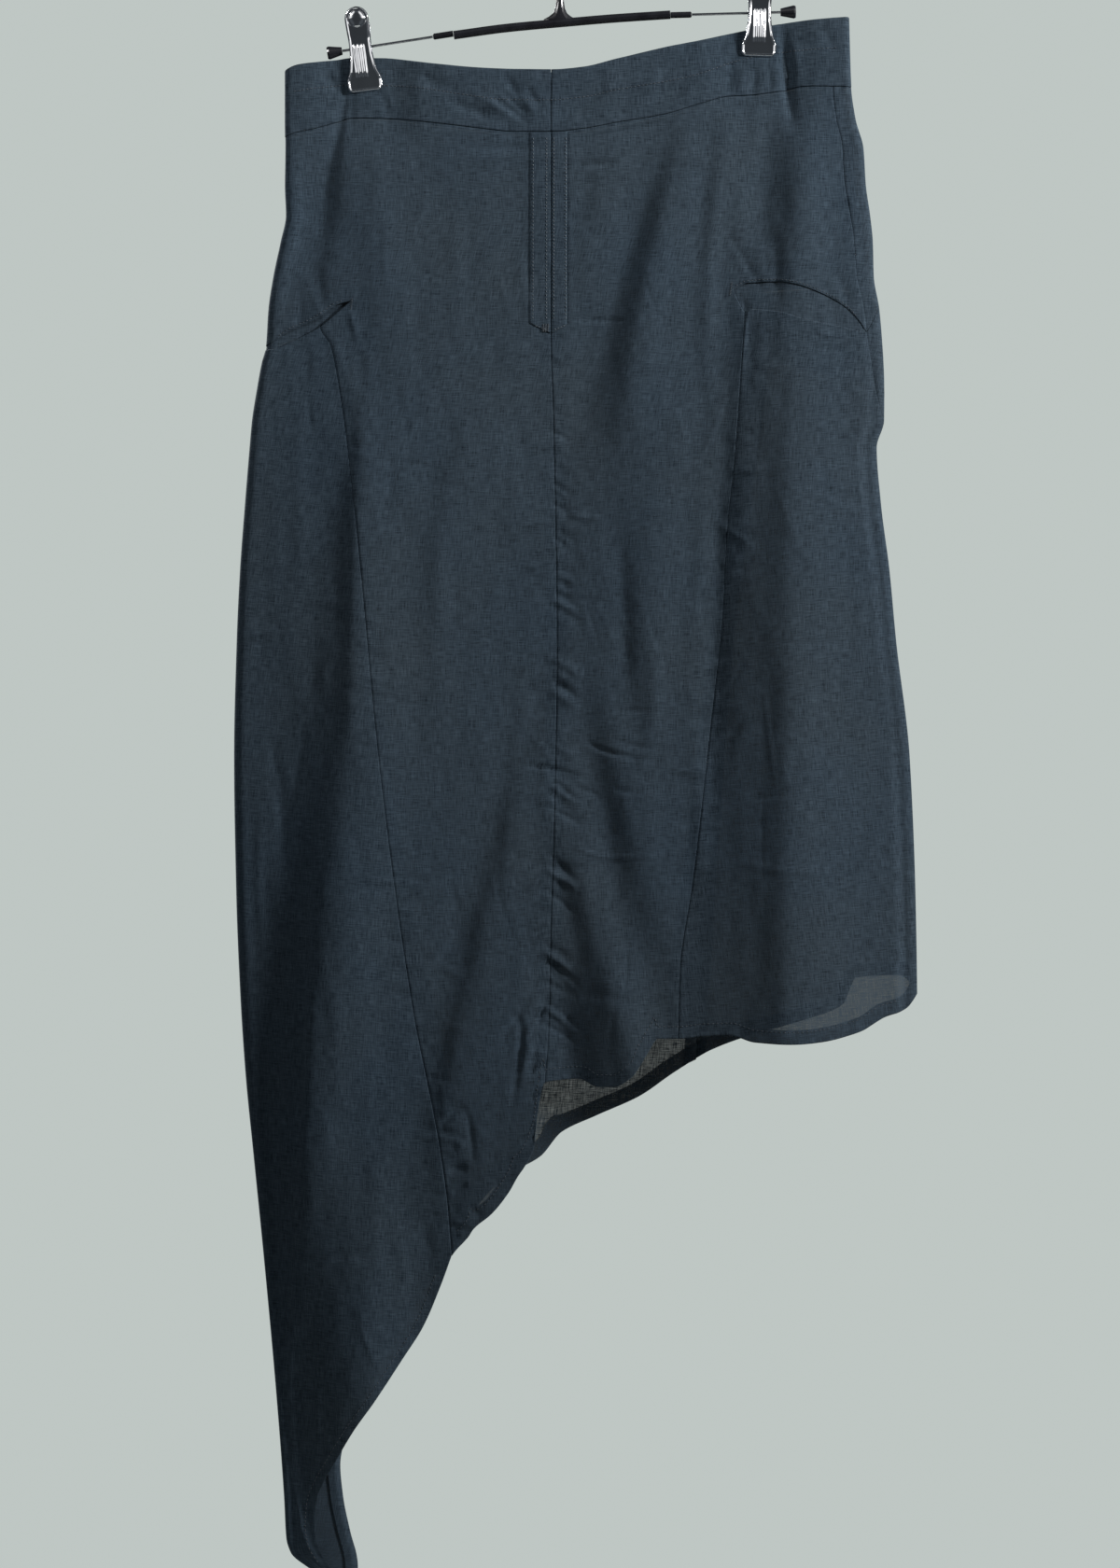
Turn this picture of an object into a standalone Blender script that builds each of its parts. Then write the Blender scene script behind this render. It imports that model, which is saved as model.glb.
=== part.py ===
"""Asymmetric linen skirt, hung flat by two clips from a hanger.

Every cloth piece is a wall on one garment surface. That surface is a flattened tube: at each height
it has a left and a right fold of the radius `roll`, and a front and a back that bow out between them.
A place on it is (p, z): z is the height, and p is the distance along the ring, from the left end of
the flat front to its right end, on round the right fold, along the back, and round the left fold.
Negative p runs round the left fold from the front.

Tables and formulas are in millimetres. The front faces -Y, +X is the viewer's right, +Z is up, and
the origin is where the hook's inside rests on whatever carries it.
"""
import math
from collections import namedtuple

import bmesh
import bpy
from mathutils import Vector

MM = 0.001

# ---- driving dimensions, mm ----
WALL = 1.2                  # one layer of cloth with its seam allowances
HEM_WALL = 2.0              # where the hem is turned up
HEM_BAND = 12.0             # height of the turned-up hem
BAND_WALL = 1.5             # waistband, two layers
SEAM_GAP = 0.3              # between two sewn pieces
LAY_GAP = 0.3               # between a panel and what lies on it
PINCH_HALF_DEPTH = 1.95     # half of both waistband layers between the clips' jaws
LEVEL_STEP = 29.0           # height between the cloth's rows of points
TOP_LEVEL = -150.0
TAIL_END = -1295.0
SIDE_SEAM_TURN = 0.65       # how far round the left fold its side seam lies, from the front
BOW_POWER = 1.3             # shapes the curve of front and back between the side folds
BAND_HEIGHTS = (-80.0, -200.0)      # between these heights an edge of the waistband is looked for
MOUTH_HEIGHTS = (-270.0, -370.0)
HEM_HEIGHTS = (-760.0, -1090.0)
SHARP_ANGLE = 40.0          # edges steeper than this stay sharp

STRIP_WIDTH_LEFT = 16.5     # placket
STRIP_WIDTH_RIGHT = 14.0
STRIP_WALL = 1.0
STRIP_END = -328.0
STRIP_POINT = 8.0           # how far the placket's point hangs below its outer corners
ZIP_HALF_WIDTH = 11.0
ZIP_WALL = 0.8

# ---- sections of the tube ----
Section = namedtuple("Section", "z left right roll front back")
SECTIONS = [
    Section(-90.0, -212.0, 222.8, 4.6, 0.4, 0.4),
    Section(-145.0, -212.0, 224.6, 4.8, 0.8, 0.8),
    Section(-169.0, -212.0, 228.0, 5.0, 1.5, 1.5),
    Section(-191.0, -211.8, 234.0, 5.3, 2.5, 2.5),
    Section(-221.0, -212.2, 236.0, 5.7, 4.0, 3.5),
    Section(-243.0, -211.4, 239.2, 6.0, 5.0, 4.5),
    Section(-264.0, -215.5, 241.4, 6.3, 6.5, 5.5),
    Section(-290.0, -221.0, 242.0, 6.6, 8.0, 7.0),
    Section(-316.0, -224.9, 246.4, 7.0, 9.5, 8.0),
    Section(-345.0, -226.8, 248.8, 7.0, 11.0, 9.0),
    Section(-357.0, -230.0, 249.6, 7.0, 11.6, 9.4),
    Section(-380.0, -234.2, 250.2, 7.2, 12.6, 10.0),
    Section(-402.0, -237.6, 250.0, 7.4, 13.4, 10.6),
    Section(-422.0, -239.4, 244.4, 7.6, 14.0, 11.2),
    Section(-466.0, -243.0, 247.7, 8.0, 15.0, 12.5),
    Section(-517.0, -246.8, 254.2, 8.0, 16.0, 14.0),
    Section(-572.0, -249.4, 259.4, 8.2, 17.0, 15.0),
    Section(-661.0, -251.4, 269.8, 8.5, 19.0, 17.0),
    Section(-768.0, -249.7, 274.3, 9.0, 21.0, 19.0),
    Section(-844.0, -246.6, 275.6, 9.0, 22.0, 20.0),
    Section(-905.0, -242.6, 276.0, 9.0, 22.0, 20.0),
    Section(-970.0, -236.2, 276.0, 9.0, 22.0, 20.0),
    Section(-1050.0, -228.2, 276.0, 8.5, 20.0, 18.0),
    Section(-1152.0, -218.9, 276.0, 7.5, 16.0, 15.0),
    Section(-1233.0, -212.8, 276.0, 6.5, 12.0, 12.0),
    Section(-1263.0, -211.2, 276.0, 6.0, 10.0, 10.0),
    Section(-1275.0, -207.6, 276.0, 5.6, 9.0, 9.0),
    Section(-1286.0, -194.5, 276.0, 5.0, 8.0, 8.0),
    Section(-1296.0, -178.0, 276.0, 4.2, 7.0, 7.0),
]

# ---- waistband: its top edge and its seam with the panels ----
BandRow = namedtuple("BandRow", "x top seam")
WAISTBAND = [
    BandRow(-212.0, -132.0, -183.6),
    BandRow(-203.0, -128.2, -180.5),
    BandRow(-188.0, -126.0, -177.0),
    BandRow(-172.0, -124.0, -172.0),
    BandRow(-160.5, -122.4, -169.0),
    BandRow(-138.0, -122.4, -169.2),
    BandRow(-101.5, -126.7, -172.8),
    BandRow(-65.0, -130.2, -177.1),
    BandRow(-37.0, -131.4, -180.0),
    BandRow(-7.0, -131.8, -180.2),
    BandRow(17.5, -129.9, -177.8),
    BandRow(45.0, -123.2, -172.8),
    BandRow(81.5, -114.4, -166.2),
    BandRow(109.0, -109.0, -158.0),
    BandRow(129.0, -104.2, -152.4),
    BandRow(148.0, -100.2, -151.2),
    BandRow(169.0, -96.2, -148.4),
    BandRow(188.0, -93.9, -144.9),
    BandRow(225.0, -90.8, -145.0),
]

# ---- seams, as x at each height ----
SeamRow = namedtuple("SeamRow", "z x")
CENTRE_SEAM = [
    SeamRow(-120.0, -6.8), SeamRow(-180.0, -7.0), SeamRow(-333.0, -7.2), SeamRow(-408.0, -5.0),
    SeamRow(-576.0, -2.4), SeamRow(-696.0, -4.3), SeamRow(-797.0, -7.2), SeamRow(-868.0, -8.6),
    SeamRow(-910.0, -11.5),
]
PRINCESS_LEFT = [
    SeamRow(-120.0, -187.0), SeamRow(-331.0, -184.3), SeamRow(-345.0, -176.4), SeamRow(-370.0, -171.0),
    SeamRow(-438.0, -161.3), SeamRow(-531.0, -151.2), SeamRow(-631.0, -141.8), SeamRow(-725.0, -131.0),
    SeamRow(-855.0, -112.3), SeamRow(-958.0, -92.2), SeamRow(-999.0, -86.4), SeamRow(-1043.0, -82.8),
]
PRINCESS_RIGHT = [
    SeamRow(-100.0, 145.0), SeamRow(-293.0, 142.6), SeamRow(-319.0, 141.8), SeamRow(-352.0, 139.7),
    SeamRow(-432.0, 133.9), SeamRow(-483.0, 128.6), SeamRow(-555.0, 124.6), SeamRow(-629.0, 116.6),
    SeamRow(-761.0, 100.8), SeamRow(-823.0, 91.6), SeamRow(-876.0, 90.0),
]
BACK_SEAM_LEFT = [
    SeamRow(-120.0, -183.0), SeamRow(-325.0, -178.6), SeamRow(-653.0, -144.0), SeamRow(-1021.0, -72.5),
]
BACK_SEAM_RIGHT = [
    SeamRow(-100.0, 158.0), SeamRow(-318.0, 154.8), SeamRow(-581.0, 126.0), SeamRow(-898.0, 104.4),
]
SideRow = namedtuple("SideRow", "z ahead")      # how far in front of the right fold its side seam lies
SIDE_SEAM_RIGHT = [
    SideRow(-100.0, 10.0), SideRow(-150.0, 10.0), SideRow(-200.0, 11.5), SideRow(-270.0, 8.6),
    SideRow(-316.0, 5.6), SideRow(-334.0, 5.0), SideRow(-370.0, 1.5), SideRow(-430.0, -11.0),
    SideRow(-900.0, -13.0),
]

# ---- pocket mouths, upper and lower edge ----
EdgeRow = namedtuple("EdgeRow", "x z")
MOUTH_LEFT_UPPER = [
    EdgeRow(-230.0, -346.5), EdgeRow(-225.0, -344.0), EdgeRow(-209.5, -334.5), EdgeRow(-188.6, -325.0),
    EdgeRow(-171.0, -313.5), EdgeRow(-161.3, -311.0),
]
MOUTH_LEFT_LOWER = [
    EdgeRow(-230.0, -346.9), EdgeRow(-222.0, -347.4), EdgeRow(-206.0, -341.0), EdgeRow(-193.0, -335.0),
    EdgeRow(-184.0, -330.0), EdgeRow(-171.0, -319.5), EdgeRow(-161.3, -311.2),
]
MOUTH_RIGHT_UPPER = [
    EdgeRow(133.0, -302.0), EdgeRow(144.0, -297.4), EdgeRow(165.6, -296.6), EdgeRow(180.0, -298.8),
    EdgeRow(201.6, -306.0), EdgeRow(219.6, -316.0), EdgeRow(230.4, -326.8), EdgeRow(236.0, -334.0),
    EdgeRow(260.0, -334.2),
]
MOUTH_RIGHT_LOWER = [
    EdgeRow(133.0, -302.2), EdgeRow(137.5, -312.5), EdgeRow(141.8, -319.0), EdgeRow(148.0, -317.4),
    EdgeRow(165.6, -319.0), EdgeRow(187.2, -325.0), EdgeRow(216.0, -330.6), EdgeRow(236.0, -334.4),
    EdgeRow(260.0, -334.6),
]
FACING_ABOVE = 12.0
FACING_BELOW = 40.0
FACING_WALL = 0.9
FACING_GAP = 0.6

YokeRow = namedtuple("YokeRow", "along z")      # the back's hip seam, by distance from the side seam
YOKE_RIGHT = [
    YokeRow(0.0, -334.4), YokeRow(16.0, -312.0), YokeRow(33.0, -303.0), YokeRow(60.0, -299.0),
    YokeRow(130.0, -303.0),
]
YOKE_LEFT = [
    YokeRow(-60.0, -326.0), YokeRow(-33.0, -334.0), YokeRow(-10.0, -343.0), YokeRow(0.0, -346.7),
]

# ---- hems ----
HEM_FRONT = [
    EdgeRow(-90.0, -1061.0), EdgeRow(-82.8, -1043.2), EdgeRow(-69.8, -1028.0), EdgeRow(-66.2, -1022.4),
    EdgeRow(-51.8, -1010.0), EdgeRow(-38.9, -993.6), EdgeRow(-32.4, -982.0), EdgeRow(-26.6, -973.4),
    EdgeRow(-20.2, -960.4), EdgeRow(-17.3, -935.0), EdgeRow(-13.0, -912.2), EdgeRow(-11.5, -910.0),
    EdgeRow(-0.7, -908.2), EdgeRow(14.4, -907.2), EdgeRow(28.8, -913.0), EdgeRow(40.3, -912.9),
    EdgeRow(54.7, -905.0), EdgeRow(61.9, -894.9), EdgeRow(69.8, -882.0), EdgeRow(74.0, -876.2),
    EdgeRow(91.4, -876.2), EdgeRow(110.9, -874.0), EdgeRow(128.9, -873.3), EdgeRow(147.6, -878.4),
    EdgeRow(177.1, -879.8), EdgeRow(198.0, -878.4), EdgeRow(229.0, -871.2), EdgeRow(249.1, -860.4),
    EdgeRow(265.0, -855.3), EdgeRow(277.0, -842.0),
]
HEM_BACK = [
    EdgeRow(-90.0, -1046.0), EdgeRow(-72.0, -1020.2), EdgeRow(-50.4, -995.0), EdgeRow(-32.4, -982.0),
    EdgeRow(-15.1, -972.0), EdgeRow(1.4, -953.2), EdgeRow(27.4, -941.0), EdgeRow(61.2, -925.9),
    EdgeRow(89.3, -906.4), EdgeRow(117.4, -889.2), EdgeRow(146.9, -878.0), EdgeRow(187.2, -866.1),
    EdgeRow(215.0, -856.0), EdgeRow(222.0, -850.0), EdgeRow(228.0, -832.0), EdgeRow(262.8, -830.0),
    EdgeRow(277.0, -842.0),
]
TAIL_FRONT = [
    SeamRow(-1043.0, -82.8), SeamRow(-1064.8, -90.7), SeamRow(-1097.2, -104.4), SeamRow(-1123.2, -121.0),
    SeamRow(-1153.4, -141.1), SeamRow(-1175.7, -157.0), SeamRow(-1200.2, -171.4), SeamRow(-1218.2, -181.4),
    SeamRow(-1232.0, -186.8), SeamRow(-1252.8, -188.6), SeamRow(-1268.6, -185.8), SeamRow(-1279.4, -179.3),
    SeamRow(-1286.6, -174.2), SeamRow(-1296.0, -167.0),
]
TAIL_BACK = [
    SeamRow(-1021.0, -72.5), SeamRow(-1043.2, -87.8), SeamRow(-1070.6, -104.4), SeamRow(-1124.6, -136.8),
    SeamRow(-1171.4, -159.8), SeamRow(-1200.2, -170.6), SeamRow(-1208.0, -171.4), SeamRow(-1232.6, -169.2),
    SeamRow(-1260.7, -163.4), SeamRow(-1279.4, -158.4), SeamRow(-1287.0, -157.6), SeamRow(-1296.0, -159.8),
]

# ---- the largest folds: a path through three points, its half width to the left and to the right of
# ---- that path, and how far it stands out ----
Fold = namedtuple("Fold", "x1 z1 x2 z2 x3 z3 left right out")
FRONT_FOLDS = [
    Fold(-140.0, -330.0, -159.0, -700.0, -158.0, -1190.0, 34.0, 34.0, 5.5),    # crest down the left side
    Fold(-142.0, -345.0, -160.0, -640.0, -164.0, -1100.0, 14.0, 26.0, 5.0),    # its steep side
    Fold(-165.0, -760.0, -168.0, -950.0, -160.0, -1230.0, 42.0, 40.0, 6.0),    # it runs on into the tail
    Fold(-212.0, -820.0, -218.0, -1000.0, -216.0, -1230.0, 16.0, 24.0, -3.5),
    Fold(-152.0, -150.0, -143.0, -240.0, -141.0, -345.0, 13.0, 24.0, 4.0),     # left hip
    Fold(-182.0, -150.0, -187.0, -240.0, -198.0, -330.0, 14.0, 12.0, -3.0),
    Fold(197.0, -140.0, 188.0, -230.0, 180.0, -325.0, 14.0, 18.0, 4.0),        # right hip
    Fold(160.0, -150.0, 157.0, -235.0, 150.0, -315.0, 13.0, 11.0, -2.5),
    Fold(124.0, -300.0, 117.0, -620.0, 107.0, -970.0, 22.0, 13.0, -4.5),       # valley at the right seam
    Fold(166.0, -310.0, 156.0, -620.0, 149.0, -990.0, 25.0, 58.0, 8.5),        # broad roll beside it
    Fold(112.0, -150.0, 78.0, -270.0, 48.0, -450.0, 12.0, 22.0, 4.5),          # drag from the right clip
    Fold(100.0, -150.0, 50.0, -280.0, 12.0, -460.0, 22.0, 12.0, -3.5),
    Fold(-66.0, -350.0, -96.0, -440.0, -112.0, -590.0, 11.0, 22.0, 2.5),
    Fold(-22.0, -610.0, -70.0, -754.0, -95.0, -980.0, 22.0, 11.0, -3.0),       # drawn from the centre seam
    Fold(2.0, -610.0, -46.0, -754.0, -72.0, -990.0, 13.0, 24.0, 3.5),
    Fold(-2.0, -600.0, -6.0, -800.0, -8.0, -1000.0, 22.0, 13.0, -4.0),         # the centre seam sinks
    Fold(32.0, -760.0, 42.0, -850.0, 50.0, -930.0, 18.0, 26.0, 4.0),
    Fold(22.0, -470.0, 50.0, -560.0, 78.0, -620.0, 13.0, 20.0, 3.0),           # left arm of the V
    Fold(120.0, -420.0, 108.0, -530.0, 92.0, -620.0, 11.0, 18.0, 2.5),         # right arm of the V
]
BACK_FOLDS = [
    Fold(-150.0, -330.0, -166.0, -640.0, -196.0, -1160.0, 14.0, 14.0, -7.0),
    Fold(-100.0, -300.0, -112.0, -620.0, -120.0, -1100.0, 24.0, 24.0, 6.0),
    Fold(-40.0, -260.0, -46.0, -600.0, -30.0, -1030.0, 18.0, 18.0, -6.0),
    Fold(30.0, -300.0, 36.0, -620.0, 48.0, -1000.0, 24.0, 24.0, 6.0),
    Fold(100.0, -280.0, 92.0, -560.0, 96.0, -930.0, 17.0, 17.0, -6.0),
    Fold(180.0, -300.0, 186.0, -600.0, 190.0, -900.0, 28.0, 28.0, 6.5),
]
FOLD_MARGIN = 9.0           # over this width from a side fold, the folds fade in

# ---- hanger ----
Clip = namedtuple("Clip", "name pivot_x pivot_z lean")
ROD_RADIUS = 1.0
BAR_RADIUS = 3.25
BAR_PATH = [(-82.0, -104.4), (-41.0, -98.8), (0.0, -95.0), (42.0, -91.4), (85.0, -88.6)]
FERRULE_RADIUS = 2.35
CAP_LENGTH = 11.5
CAP_SMALL_RADIUS = 2.9
CAP_LARGE_RADIUS = 5.0
ROD_LEFT = ((-97.9, -105.6), (-167.8, -116.5))
ROD_RIGHT = ((101.5, -88.5), (169.9, -86.7))
STEM_TOP = -60.0
STEM_HALF = 2.9
StemRing = namedtuple("StemRing", "z half_x half_y")
STEM_RINGS = [              # from inside the bar, through the flare, to the top
    StemRing(-97.0, 10.5, 2.2), StemRing(-93.4, 12.8, 2.7), StemRing(-92.0, 12.4, 2.9),
    StemRing(-90.0, 8.6, 2.9), StemRing(-87.6, 5.6, 2.9), StemRing(-84.0, 3.9, 2.9),
    StemRing(-78.0, STEM_HALF, STEM_HALF), StemRing(STEM_TOP, STEM_HALF, STEM_HALF),
]
HOOK_RADIUS = 2.0           # of the wire
HOOK_INNER = 18.0           # of the bend
HOOK_SHANK = [(0.0, STEM_TOP + SEAM_GAP), (0.0, -52.0), (2.0, -46.0), (6.6, -40.4)]
HOOK_TURN = (-46, 191, 12)  # degrees round the bend: first, past the last, and step
CLIPS = [Clip("left", -153.8, -114.3, 7.3), Clip("right", 154.0, -87.1, -1.6)]
PINCH_FLAT = 20.0           # half width of the cloth held flat at a clip
PINCH_FADE = 26.0
PINCH_BELOW = 12.0          # how far below the jaws the cloth stays flat, and then opens
PINCH_BELOW_FADE = 50.0
JAW_BELOW_PIVOT = 34.0
PLATE_WALL = 1.0
SPRING_RADIUS = 3.2
SPRING_LENGTH = 13.0
PlateRow = namedtuple("PlateRow", "down half inner")    # from the pivot: height, half width, inner face
PLATE = [
    PlateRow(-30.0, 4.2, 8.6), PlateRow(-28.6, 6.8, 8.4), PlateRow(-25.5, 8.7, 7.9), PlateRow(-21.0, 9.2, 7.2),
    PlateRow(-12.0, 8.9, 5.4), PlateRow(-4.0, 8.5, 3.9), PlateRow(4.0, 8.7, 4.2), PlateRow(12.0, 9.6, 4.9),
    PlateRow(19.0, 10.8, 4.2), PlateRow(23.0, 12.6, 2.9), PlateRow(26.0, 13.4, 2.35),
    PlateRow(31.5, 13.4, 2.3), PlateRow(33.2, 12.6, 2.35), PlateRow(34.0, 10.8, 2.5),
]


def hermite(rows, key, value, at):
    """Smooth curve through a table: each row's slope is the mean of its two neighbours' slopes."""
    rows = sorted(rows, key=key)
    at = min(max(at, key(rows[0])), key(rows[-1]))
    i = 0
    while i < len(rows) - 2 and at > key(rows[i + 1]):
        i += 1
    a, b = rows[i], rows[i + 1]
    span = key(b) - key(a)
    rise = (value(b) - value(a)) / span

    def slope(k):
        if k == 0 or k == len(rows) - 1:
            return rise
        before = (value(rows[k]) - value(rows[k - 1])) / (key(rows[k]) - key(rows[k - 1]))
        after = (value(rows[k + 1]) - value(rows[k])) / (key(rows[k + 1]) - key(rows[k]))
        return 0.0 if before * after <= 0.0 else 2.0 * before * after / (before + after)

    t = (at - key(a)) / span
    m0, m1 = slope(i) * span, slope(i + 1) * span
    return ((2 * t**3 - 3 * t**2 + 1) * value(a) + (t**3 - 2 * t**2 + t) * m0
            + (3 * t**2 - 2 * t**3) * value(b) + (t**3 - t**2) * m1)


def by_z(rows, name, z):
    return hermite(rows, lambda row: row.z, lambda row: getattr(row, name), z)


def by_x(rows, name, x):
    return hermite(rows, lambda row: row.x, lambda row: getattr(row, name), x)


def smooth_step(low, high, value):
    t = min(max((value - low) / (high - low), 0.0), 1.0)
    return t * t * (3.0 - 2.0 * t)


# ---- the garment surface ----
SECTION_CACHE = {}


def section(z):
    key = round(z, 4)
    if key not in SECTION_CACHE:
        values = [by_z(SECTIONS, name, z) for name in Section._fields[1:]]
        SECTION_CACHE[key] = Section(z, *values)
    return SECTION_CACHE[key]


def flat_width(z):
    s = section(z)
    return s.right - s.left - 2.0 * s.roll


def half_turn(z):
    return math.pi * section(z).roll


def front_at(z, x):
    """p of the front's point at x."""
    s = section(z)
    return x - s.left - s.roll


def back_at(z, x):
    """p of the back's point at x."""
    s = section(z)
    return flat_width(z) + half_turn(z) + s.right - s.roll - x


def clip_jaw(clip):
    lean = math.radians(clip.lean)
    return (clip.pivot_x + JAW_BELOW_PIVOT * math.sin(lean), clip.pivot_z - JAW_BELOW_PIVOT * math.cos(lean))


def pinch(x, z):
    """1 where a clip presses both layers together, 0 away from it."""
    most = 0.0
    for clip in CLIPS:
        jaw_x, jaw_z = clip_jaw(clip)
        across = 1.0 - smooth_step(PINCH_FLAT, PINCH_FLAT + PINCH_FADE, abs(x - jaw_x))
        down = 1.0 - smooth_step(PINCH_BELOW, PINCH_BELOW + PINCH_BELOW_FADE, jaw_z - z)
        most = max(most, across * down)
    return most


def fold_height(folds, x, z):
    total = 0.0
    for f in folds:
        if not f.z3 < z < f.z1:
            continue
        centre = (f.x1 * (z - f.z2) * (z - f.z3) / ((f.z1 - f.z2) * (f.z1 - f.z3))
                  + f.x2 * (z - f.z1) * (z - f.z3) / ((f.z2 - f.z1) * (f.z2 - f.z3))
                  + f.x3 * (z - f.z1) * (z - f.z2) / ((f.z3 - f.z1) * (f.z3 - f.z2)))
        along = math.sin(math.pi * (f.z1 - z) / (f.z1 - f.z3))
        width = f.left if x < centre else f.right
        total += f.out * along * math.exp(-((x - centre) / width) ** 2)
    return total


def surface(p, z):
    """The garment's outer surface at p along the ring and height z."""
    s = section(z)
    flat, turn = flat_width(z), half_turn(z)
    if p > 2.0 * flat + turn:
        p -= 2.0 * (flat + turn)
    if p < 0.0:                                         # left fold
        angle = -p / s.roll
        return Vector((s.left + s.roll - s.roll * math.sin(angle), -s.roll * math.cos(angle), z))
    if flat < p < flat + turn:                          # right fold
        angle = (p - flat) / s.roll
        return Vector((s.right - s.roll + s.roll * math.sin(angle), -s.roll * math.cos(angle), z))
    on_front = p <= flat
    x = s.left + s.roll + p if on_front else s.right - s.roll - (p - flat - turn)
    across = (x - s.left - s.roll) / flat * 2.0 - 1.0
    bow = (1.0 - across * across) ** BOW_POWER
    depth = s.roll + (s.front if on_front else s.back) * bow
    from_left, from_right = x - s.left - s.roll, s.right - s.roll - x
    fade = smooth_step(0.0, FOLD_MARGIN, from_left) * smooth_step(0.0, FOLD_MARGIN, from_right)
    depth += fade * fold_height(FRONT_FOLDS if on_front else BACK_FOLDS, x, z)
    held = pinch(x, z)
    depth = depth * (1.0 - held) + PINCH_HALF_DEPTH * held
    return Vector((x, -depth if on_front else depth, z))


def outward(p, z, step=1.5):
    """The surface's unit normal, away from the inside of the skirt."""
    along = surface(p + step, z) - surface(p - step, z)
    up = surface(p, z + step) - surface(p, z - step)
    return along.cross(up).normalized()


def x_at(p, z):
    return surface(p, z).x


# ---- seams as p at each height ----
def centre_seam(z):
    return front_at(z, by_z(CENTRE_SEAM, "x", z))


def princess_left(z):
    """Seam of the left side front, then the tail's front edge."""
    rows = PRINCESS_LEFT if z > PRINCESS_LEFT[-1].z else TAIL_FRONT
    return front_at(z, by_z(rows, "x", z))


def princess_right(z):
    return front_at(z, by_z(PRINCESS_RIGHT, "x", z))


def side_right(z):
    return flat_width(z) - by_z(SIDE_SEAM_RIGHT, "ahead", z)


def side_left(z):
    return -SIDE_SEAM_TURN * half_turn(z)


def side_left_from_back(z):
    return side_left(z) + 2.0 * (flat_width(z) + half_turn(z))


def back_seam_right(z):
    return back_at(z, by_z(BACK_SEAM_RIGHT, "x", z))


def back_seam_left(z):
    """Seam of the left side back, then the tail's back edge."""
    rows = BACK_SEAM_LEFT if z > BACK_SEAM_LEFT[-1].z else TAIL_BACK
    return back_at(z, by_z(rows, "x", z))


def shifted(line, distance):
    return lambda z: line(z) + distance


def between(first, last, parts):
    """Lines that part the cloth between two seams, at the given fractions."""
    return [lambda z, f=f: first(z) + (last(z) - first(z)) * f for f in parts]


def even(count):
    return [k / count for k in range(count + 1)]


HALF_GAP = SEAM_GAP / 2.0
SLANT_HALF_GAP = 0.3        # half of a gap that is measured upright where its seam slants steeply
ValleyRow = namedtuple("ValleyRow", "z part")
VALLEY_LINE = [                                         # the foot of the left crest, across the left side
    ValleyRow(-320.0, 0.55), ValleyRow(-430.0, 0.77), ValleyRow(-500.0, 0.74), ValleyRow(-600.0, 0.62),
    ValleyRow(-673.0, 0.55), ValleyRow(-760.0, 0.46), ValleyRow(-850.0, 0.38), ValleyRow(-1000.0, 0.23),
    ValleyRow(-1110.0, 0.22), ValleyRow(-1200.0, 0.40), ValleyRow(-1290.0, 0.45),
]
LEFT_FRONT_START = shifted(lambda z: 0.0, 1.0)          # where the left fold has turned to the front
RIGHT_EDGE_ZONE = 12.0      # lines lie closer together this near a side seam, and round a side fold
RIGHT_FOLD_ZONE = 34.0
RIGHT_HIP_PARTS = [0.0, 0.09, 0.18, 0.28, 0.42, 0.58, 0.78, 1.0]    # closer where the broad roll rises
LEFT_EDGE_ZONE = 11.0
LEFT_FOLD_LINES = 4         # strips from the left side seam round to there


def left_hip_lines():
    """From the left side seam to the princess seam, close together at the foot of the left crest."""
    fold = between(shifted(side_left, HALF_GAP), LEFT_FRONT_START, even(LEFT_FOLD_LINES))
    edge = shifted(princess_left, -HALF_GAP)

    def valley(z):
        return edge(z) * by_z(VALLEY_LINE, "part", z)

    return (fold + between(LEFT_FRONT_START, valley, [0.36, 0.70, 1.0])
            + between(valley, edge, [0.2, 0.42, 0.7, 1.0]))


def right_hip_lines():
    edge = shifted(side_right, -RIGHT_EDGE_ZONE)
    inner = between(shifted(princess_right, HALF_GAP), edge, RIGHT_HIP_PARTS)
    return inner + between(edge, shifted(side_right, -HALF_GAP), even(3))[1:]


def right_back_lines():
    past_fold = shifted(side_right, RIGHT_FOLD_ZONE)
    fold = between(shifted(side_right, HALF_GAP), past_fold, even(8))
    return fold + between(past_fold, shifted(back_seam_right, -HALF_GAP), even(5))[1:]


def left_back_lines():
    near_fold = shifted(side_left_from_back, -LEFT_EDGE_ZONE)
    inner = between(shifted(back_seam_left, HALF_GAP), near_fold, even(6))
    return inner + between(near_fold, shifted(side_left_from_back, -HALF_GAP), even(3))[1:]


# ---- solids ----
def material(name, colour, roughness, metallic=0.0):
    m = bpy.data.materials.get(name) or bpy.data.materials.new(name)
    m.use_nodes = True
    shader = m.node_tree.nodes["Principled BSDF"]
    shader.inputs["Base Color"].default_value = (*colour, 1.0)
    shader.inputs["Roughness"].default_value = roughness
    shader.inputs["Metallic"].default_value = metallic
    m.diffuse_color = (*colour, 1.0)
    return m


LINEN = ("dark linen", (0.036, 0.050, 0.068), 0.85)
TAPE = ("zip tape", (0.020, 0.026, 0.036), 0.8)
BLACK = ("black plastic", (0.012, 0.012, 0.014), 0.25)
CHROME = ("chrome", (0.80, 0.80, 0.82), 0.12, 1.0)
STEEL = ("steel rod", (0.55, 0.55, 0.57), 0.3, 1.0)


def add_object(name, mesh, finish):
    obj = bpy.data.objects.new(name, mesh)
    bpy.context.collection.objects.link(obj)
    mesh.materials.clear()
    mesh.materials.append(material(*finish))
    return obj


def solid_from(name, points, faces, finish):
    mesh = bpy.data.meshes.new(name)
    mesh.from_pydata([tuple(point * MM) for point in points], [], faces)
    mesh.validate()
    mesh.shade_smooth()
    mesh.set_sharp_from_angle(angle=math.radians(SHARP_ANGLE))
    return add_object(name, mesh, finish)


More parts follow.
